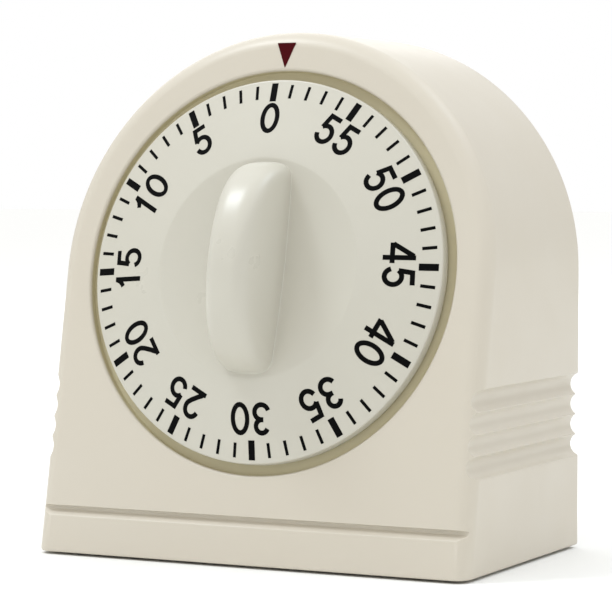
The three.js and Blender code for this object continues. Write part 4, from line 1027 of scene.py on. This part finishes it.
# ---- print
def sweep(points, width, ink):
    """One stroke of constant width along points, as a closed slab of ink."""
    bm = bmesh.new()
    path = [Vector((*p, 0)) for p in points]
    loop = (path[0] - path[-1]).length < 1e-6
    previous = None
    for k, here in enumerate(path):
        before = path[k - 1] if k else (path[-2] if loop else None)
        after = path[k + 1] if k + 1 < len(path) else (path[1] if loop else None)
        ways = []
        if before is not None:
            ways.append((here - before).normalized())
        if after is not None:
            ways.append((after - here).normalized())
        way = sum(ways, Vector()).normalized()
        spread = width / 2 / max(way.dot(ways[0]), 0.5)
        side = Vector((-way.y, way.x, 0)) * spread
        if previous is None:
            ends = [bm.verts.new(here + side), bm.verts.new(here - side)]
            previous = bm.edges.new(ends)
        else:
            grown = bmesh.ops.extrude_edge_only(bm, edges=[previous])["geom"]
            ends = [g for g in grown if isinstance(g, bmesh.types.BMVert)]
            previous = next(
                g for g in grown if isinstance(g, bmesh.types.BMEdge) and set(g.verts) == set(ends)
            )
            first = next(v for v in ends if any(e.other_vert(v) is last[0] for e in v.link_edges))
            second = ends[0] if first is ends[1] else ends[1]
            first.co, second.co = here + side, here - side
            ends = [first, second]
        last = ends
    bmesh.ops.remove_doubles(bm, verts=bm.verts, dist=MERGE)
    return pulled(bm, (0, 0, ink))


# Each figure's strokes run down their middles, in shares of the figure's width and height.
FIGURES = {
    "0": [oval(0.5, 0.5, 0.5, 0.5, 90, 450, 32)],
    "1": [[(0.16, 0.72), (0.3, 0.77), (0.48, 0.88), (0.6, 1.06)], [(0.6, 1.09), (0.6, -0.09)]],
    "2": [
        oval(0.5, 0.7, 0.46, 0.3, 172, -30, 16)
        + [(0.74, 0.42), (0.4, 0.2), (0.2, 0.09), (0.08, 0.0)],
        [(-0.1, 0.0), (1.05, 0.0)],
    ],
    "3": [
        oval(0.48, 0.765, 0.4, 0.235, 160, -90, 16) + [(0.36, 0.53)],
        oval(0.48, 0.265, 0.47, 0.265, 90, -165, 18),
    ],
    "4": [
        [(0.78, 1.09), (0.78, -0.09)],
        [(0.68, 1.02), (-0.06, 0.27)],
        [(-0.13, 0.25), (1.12, 0.25)],
    ],
    "5": [
        [(0.98, 1.0), (0.2, 1.0)],
        [(0.24, 1.08), (0.1, 0.5)],
        oval(0.47, 0.31, 0.48, 0.31, 142, -165, 20),
    ],
}


def figure_strokes(text, s):
    """The strokes of a number, centred on its own middle, in millimetres."""
    wide = s.figure_width - s.figure_stroke
    tall = s.figure_height - s.figure_stroke
    strokes = []
    for k, figure in enumerate(text):
        shift = (k - (len(text) - 1) / 2) * s.figure_pitch
        for stroke in FIGURES[figure]:
            strokes.append([(shift + (x - 0.5) * wide, (y - 0.5) * tall) for x, y in stroke])
    return strokes


def gathered(parts):
    """Several bmeshes as one."""
    whole = bmesh.new()
    for part in parts:
        mesh = bpy.data.meshes.new("part")
        part.to_mesh(mesh)
        part.free()
        whole.from_mesh(mesh)
        bpy.data.meshes.remove(mesh)
    return whole


def print_mesh(s):
    """Sixty marks and twelve numbers, which run round against the clock from 0 at the top."""
    parts = []
    for minute in range(60):
        round_to = Matrix.Rotation(math.radians(6 * minute) + s.turn, 4, "Z")
        five = minute % 5 == 0
        outer = s.five_outer if five else s.minute_outer
        length = s.five_length if five else s.minute_length
        width = s.five_width if five else s.minute_width
        mark = sweep([(0, outer), (0, outer - length)], width, s.ink)
        parts.append(moved(mark, round_to))
        if five:
            up = Matrix.Translation((0, s.figure_radius, 0))
            lift = Matrix.Translation((0, s.figure_lift, 0))
            for stroke in figure_strokes(str(minute), s):
                parts.append(moved(sweep(stroke, s.figure_stroke, s.ink), lift @ round_to @ up))
    return gathered(parts)


class TIMER_OT_dial_print(bpy.types.Operator):
    """Prints the minute marks and numbers on the dial"""

    bl_idname = "timer.dial_print"
    bl_label = "Dial print"

    def execute(self, context):
        bm = print_mesh(context.scene.timer_print)
        dial = context.scene.timer_dial
        for v in bm.verts:
            v.co.z += face_height(dial, v.co.xy.length)
        shown(bm, "dial_print", "dial", FACE_MM, looks=[INK])
        return {"FINISHED"}


# ---- clockwork
CLOCKWORK = {
    "brass": ["front_plate", "rear_plate", "pillar_1", "pillar_2", "pillar_3", "pillar_4",
              "pillar_nut_1", "pillar_nut_2", "pillar_nut_3", "pillar_nut_4", "great_wheel",
              "second_wheel", "third_wheel", "escape_wheel", "strike_cam", "balance_wheel",
              "hairspring_stud", "hammer_head"],
    "steel": ["winding_shaft", "ratchet_wheel", "click", "second_arbor", "third_arbor",
              "escape_arbor", "strike_star", "pallet_arbor", "pallet_lever", "balance_staff",
              "detent_lever", "detent_stud", "hammer", "hammer_stud", "bell_post"],
    "zinc_screw": ["movement_screw_1", "movement_screw_2", "movement_screw_3", "shaft_clip",
                   "bell_nut"],
    "spring_steel": ["mainspring", "hairspring"],
}


def dome(seat, reach, low, height, steps=24):
    """A quarter of an oval from a flat seat out to a rim, as (radius, height)."""
    angles = [math.pi / 2 * k / steps for k in range(steps + 1)]
    return [(seat + (reach - seat) * math.sin(a), low + height * (1 - math.cos(a))) for a in angles]


class TIMER_OT_bell(bpy.types.Operator):
    """Turns the bell that hangs behind the movement"""

    bl_idname = "timer.bell"
    bl_label = "Bell"

    def execute(self, context):
        low, high = face_box("bell")
        radius = (high.x - low.x) / 2
        middle = ((low.x + high.x) / 2, (low.y + high.y) / 2)
        height = high.z - low.z
        bore, wall, seat = 1.8, 1.0, 6.0  # the seat is the bell's flat middle
        outer = dome(seat, radius, low.z, height)
        inner = dome(seat, radius - wall, low.z + wall, height - wall)
        section = [(bore, low.z), *outer, *reversed(inner), (bore, low.z + wall), (bore, low.z)]
        bm = turned(section, 128, middle)
        shown(bm, "bell_shell", "case", FACE_MM, "bell_nickel", replaces=["bell"])
        return {"FINISHED"}


class TIMER_OT_clockwork(bpy.types.Operator):
    """Gives the wheels, plates, arbors, levers and springs their metals"""

    bl_idname = "timer.clockwork"
    bl_label = "Clockwork"

    def execute(self, context):
        for slot, names in CLOCKWORK.items():
            for name in names:
                part = frame["nodes"][name]
                part.data.materials.clear()
                part.data.materials.append(finish(slot))
        return {"FINISHED"}


# ---- stage
# Each light's name, place and radius in metres, power in watts, and colour.
LIGHTS = [
    ("window", (0.45, 0.25, 1.0), 0.5, 1.6, "DDEEFF"),
    ("front_fill", (-0.5, -0.3, 0.95), 0.3, 3.4, "F0F8FF"),
    ("rear_fill", (-0.6, 0.9, 0.5), 0.8, 1.5, "FFFFFF"),
]
LIT = Vector((0, 0, 0.05))  # what the lights point at, in metres
AIM = Vector((3.13, CASE_LOW.y + 20, 47.3))  # what the camera points at, in millimetres


def area_light(name, place, size, power, colour):
    """A soft round light that points at the timer."""
    data = bpy.data.lights.new(name, "AREA")
    data.shape = "DISK"
    data.size = size
    data.energy = power
    data.color = linear(colour)
    light = in_scene(name, data)
    light.location = place
    light.rotation_euler = (LIT - Vector(place)).to_track_quat("-Z", "Y").to_euler()


def make_floor(colour):
    """A wide plain floor."""
    bm = bmesh.new()
    bmesh.ops.create_grid(bm, x_segments=1, y_segments=1, size=6)
    floor = as_object(bm, "floor")
    material, tree, shader, where = new_finish("matt_white_sweep")
    plug(tree, shader, {
        "Base Color": blend(tree, noise(tree, where, 60, 2.0), colour, 1.0, 0.98),
        "Roughness": 0.9,
        "Specular IOR Level": 0.1,
    })
    floor.data.materials.append(material)


def make_world():
    """A white surround that is brighter overhead, so the floor stays white and the form shows."""
    world = bpy.data.worlds.new("white_surround")
    world.use_nodes = True
    tree = world.node_tree
    tree.nodes.clear()
    way = node(tree, "ShaderNodeTexCoord").outputs["Generated"]
    height = node(tree, "ShaderNodeSeparateXYZ", {"Vector": way}).outputs["Z"]
    overhead = node(
        tree,
        "ShaderNodeMapRange",
        {"Value": height, "From Min": 0.0, "From Max": 0.8, "To Min": 0.45, "To Max": 1.3},
    ).outputs["Result"]
    seen = node(tree, "ShaderNodeLightPath").outputs["Is Camera Ray"]
    strength = node(
        tree, "ShaderNodeMix", {0: seen, 2: overhead, 3: 1.0}, data_type="FLOAT"
    ).outputs[0]
    sky = node(tree, "ShaderNodeBackground", {"Color": (1, 1, 1, 1), "Strength": strength})
    node(tree, "ShaderNodeOutputWorld", {"Surface": sky.outputs["Background"]})
    bpy.context.scene.world = world


def make_camera(s):
    """The camera, turned round the timer's middle by the stage's angles."""
    data = bpy.data.cameras.new("camera")
    data.lens = s.lens
    data.sensor_width = 36
    data.clip_start = 0.01
    camera = in_scene("camera", data)
    level = math.cos(s.elevation)
    across, away = math.sin(s.azimuth) * level, math.cos(s.azimuth) * level
    back = Vector((across, -away, math.sin(s.elevation)))
    camera.location = AIM * MM + back * s.distance
    camera.rotation_euler = (-back).to_track_quat("-Z", "Y").to_euler()
    bpy.context.scene.camera = camera


class TIMER_OT_stage(bpy.types.Operator):
    """Sets the floor, the soft lights and the camera"""

    bl_idname = "timer.stage"
    bl_label = "Stage"

    def execute(self, context):
        s = context.scene.timer_stage
        make_floor(s.floor)
        make_world()
        for light in LIGHTS:
            area_light(*light)
        make_camera(s)
        context.scene.view_settings.view_transform = "Standard"
        return {"FINISHED"}


class TIMER_PT_panel(bpy.types.Panel):
    """Lists the timer's pieces and their sizes"""

    bl_idname = "TIMER_PT_panel"
    bl_label = "Kitchen timer"
    bl_space_type = "VIEW_3D"
    bl_region_type = "UI"
    bl_category = "Kitchen timer"

    def draw(self, context):
        for operator in OPERATORS:
            self.layout.operator(operator.bl_idname)
        for name, group in SETTINGS.items():
            box = self.layout.box()
            settings = getattr(context.scene, name)
            for prop in group.__annotations__:
                box.prop(settings, prop)


OPERATORS = [
    TIMER_OT_case_shell,
    TIMER_OT_rear_cover,
    TIMER_OT_cover_screws,
    TIMER_OT_feet,
    TIMER_OT_pointer,
    TIMER_OT_dial,
    TIMER_OT_dial_print,
    TIMER_OT_bell,
    TIMER_OT_clockwork,
    TIMER_OT_stage,
]


def register():
    """Adds the timer's settings, operators and panel."""
    for made in [*SETTINGS.values(), *OPERATORS, TIMER_PT_panel]:
        bpy.utils.register_class(made)
    for name, group in SETTINGS.items():
        setattr(bpy.types.Scene, name, bpy.props.PointerProperty(type=group))


def unregister():
    """Takes them away again."""
    for name in SETTINGS:
        delattr(bpy.types.Scene, name)
    for made in [TIMER_PT_panel, *OPERATORS, *SETTINGS.values()]:
        bpy.utils.unregister_class(made)


def main():
    """Builds every piece and the stage."""
    register()
    for operator in OPERATORS:
        group, name = operator.bl_idname.split(".")
        getattr(getattr(bpy.ops, group), name)()


if __name__ == "__main__":
    main()
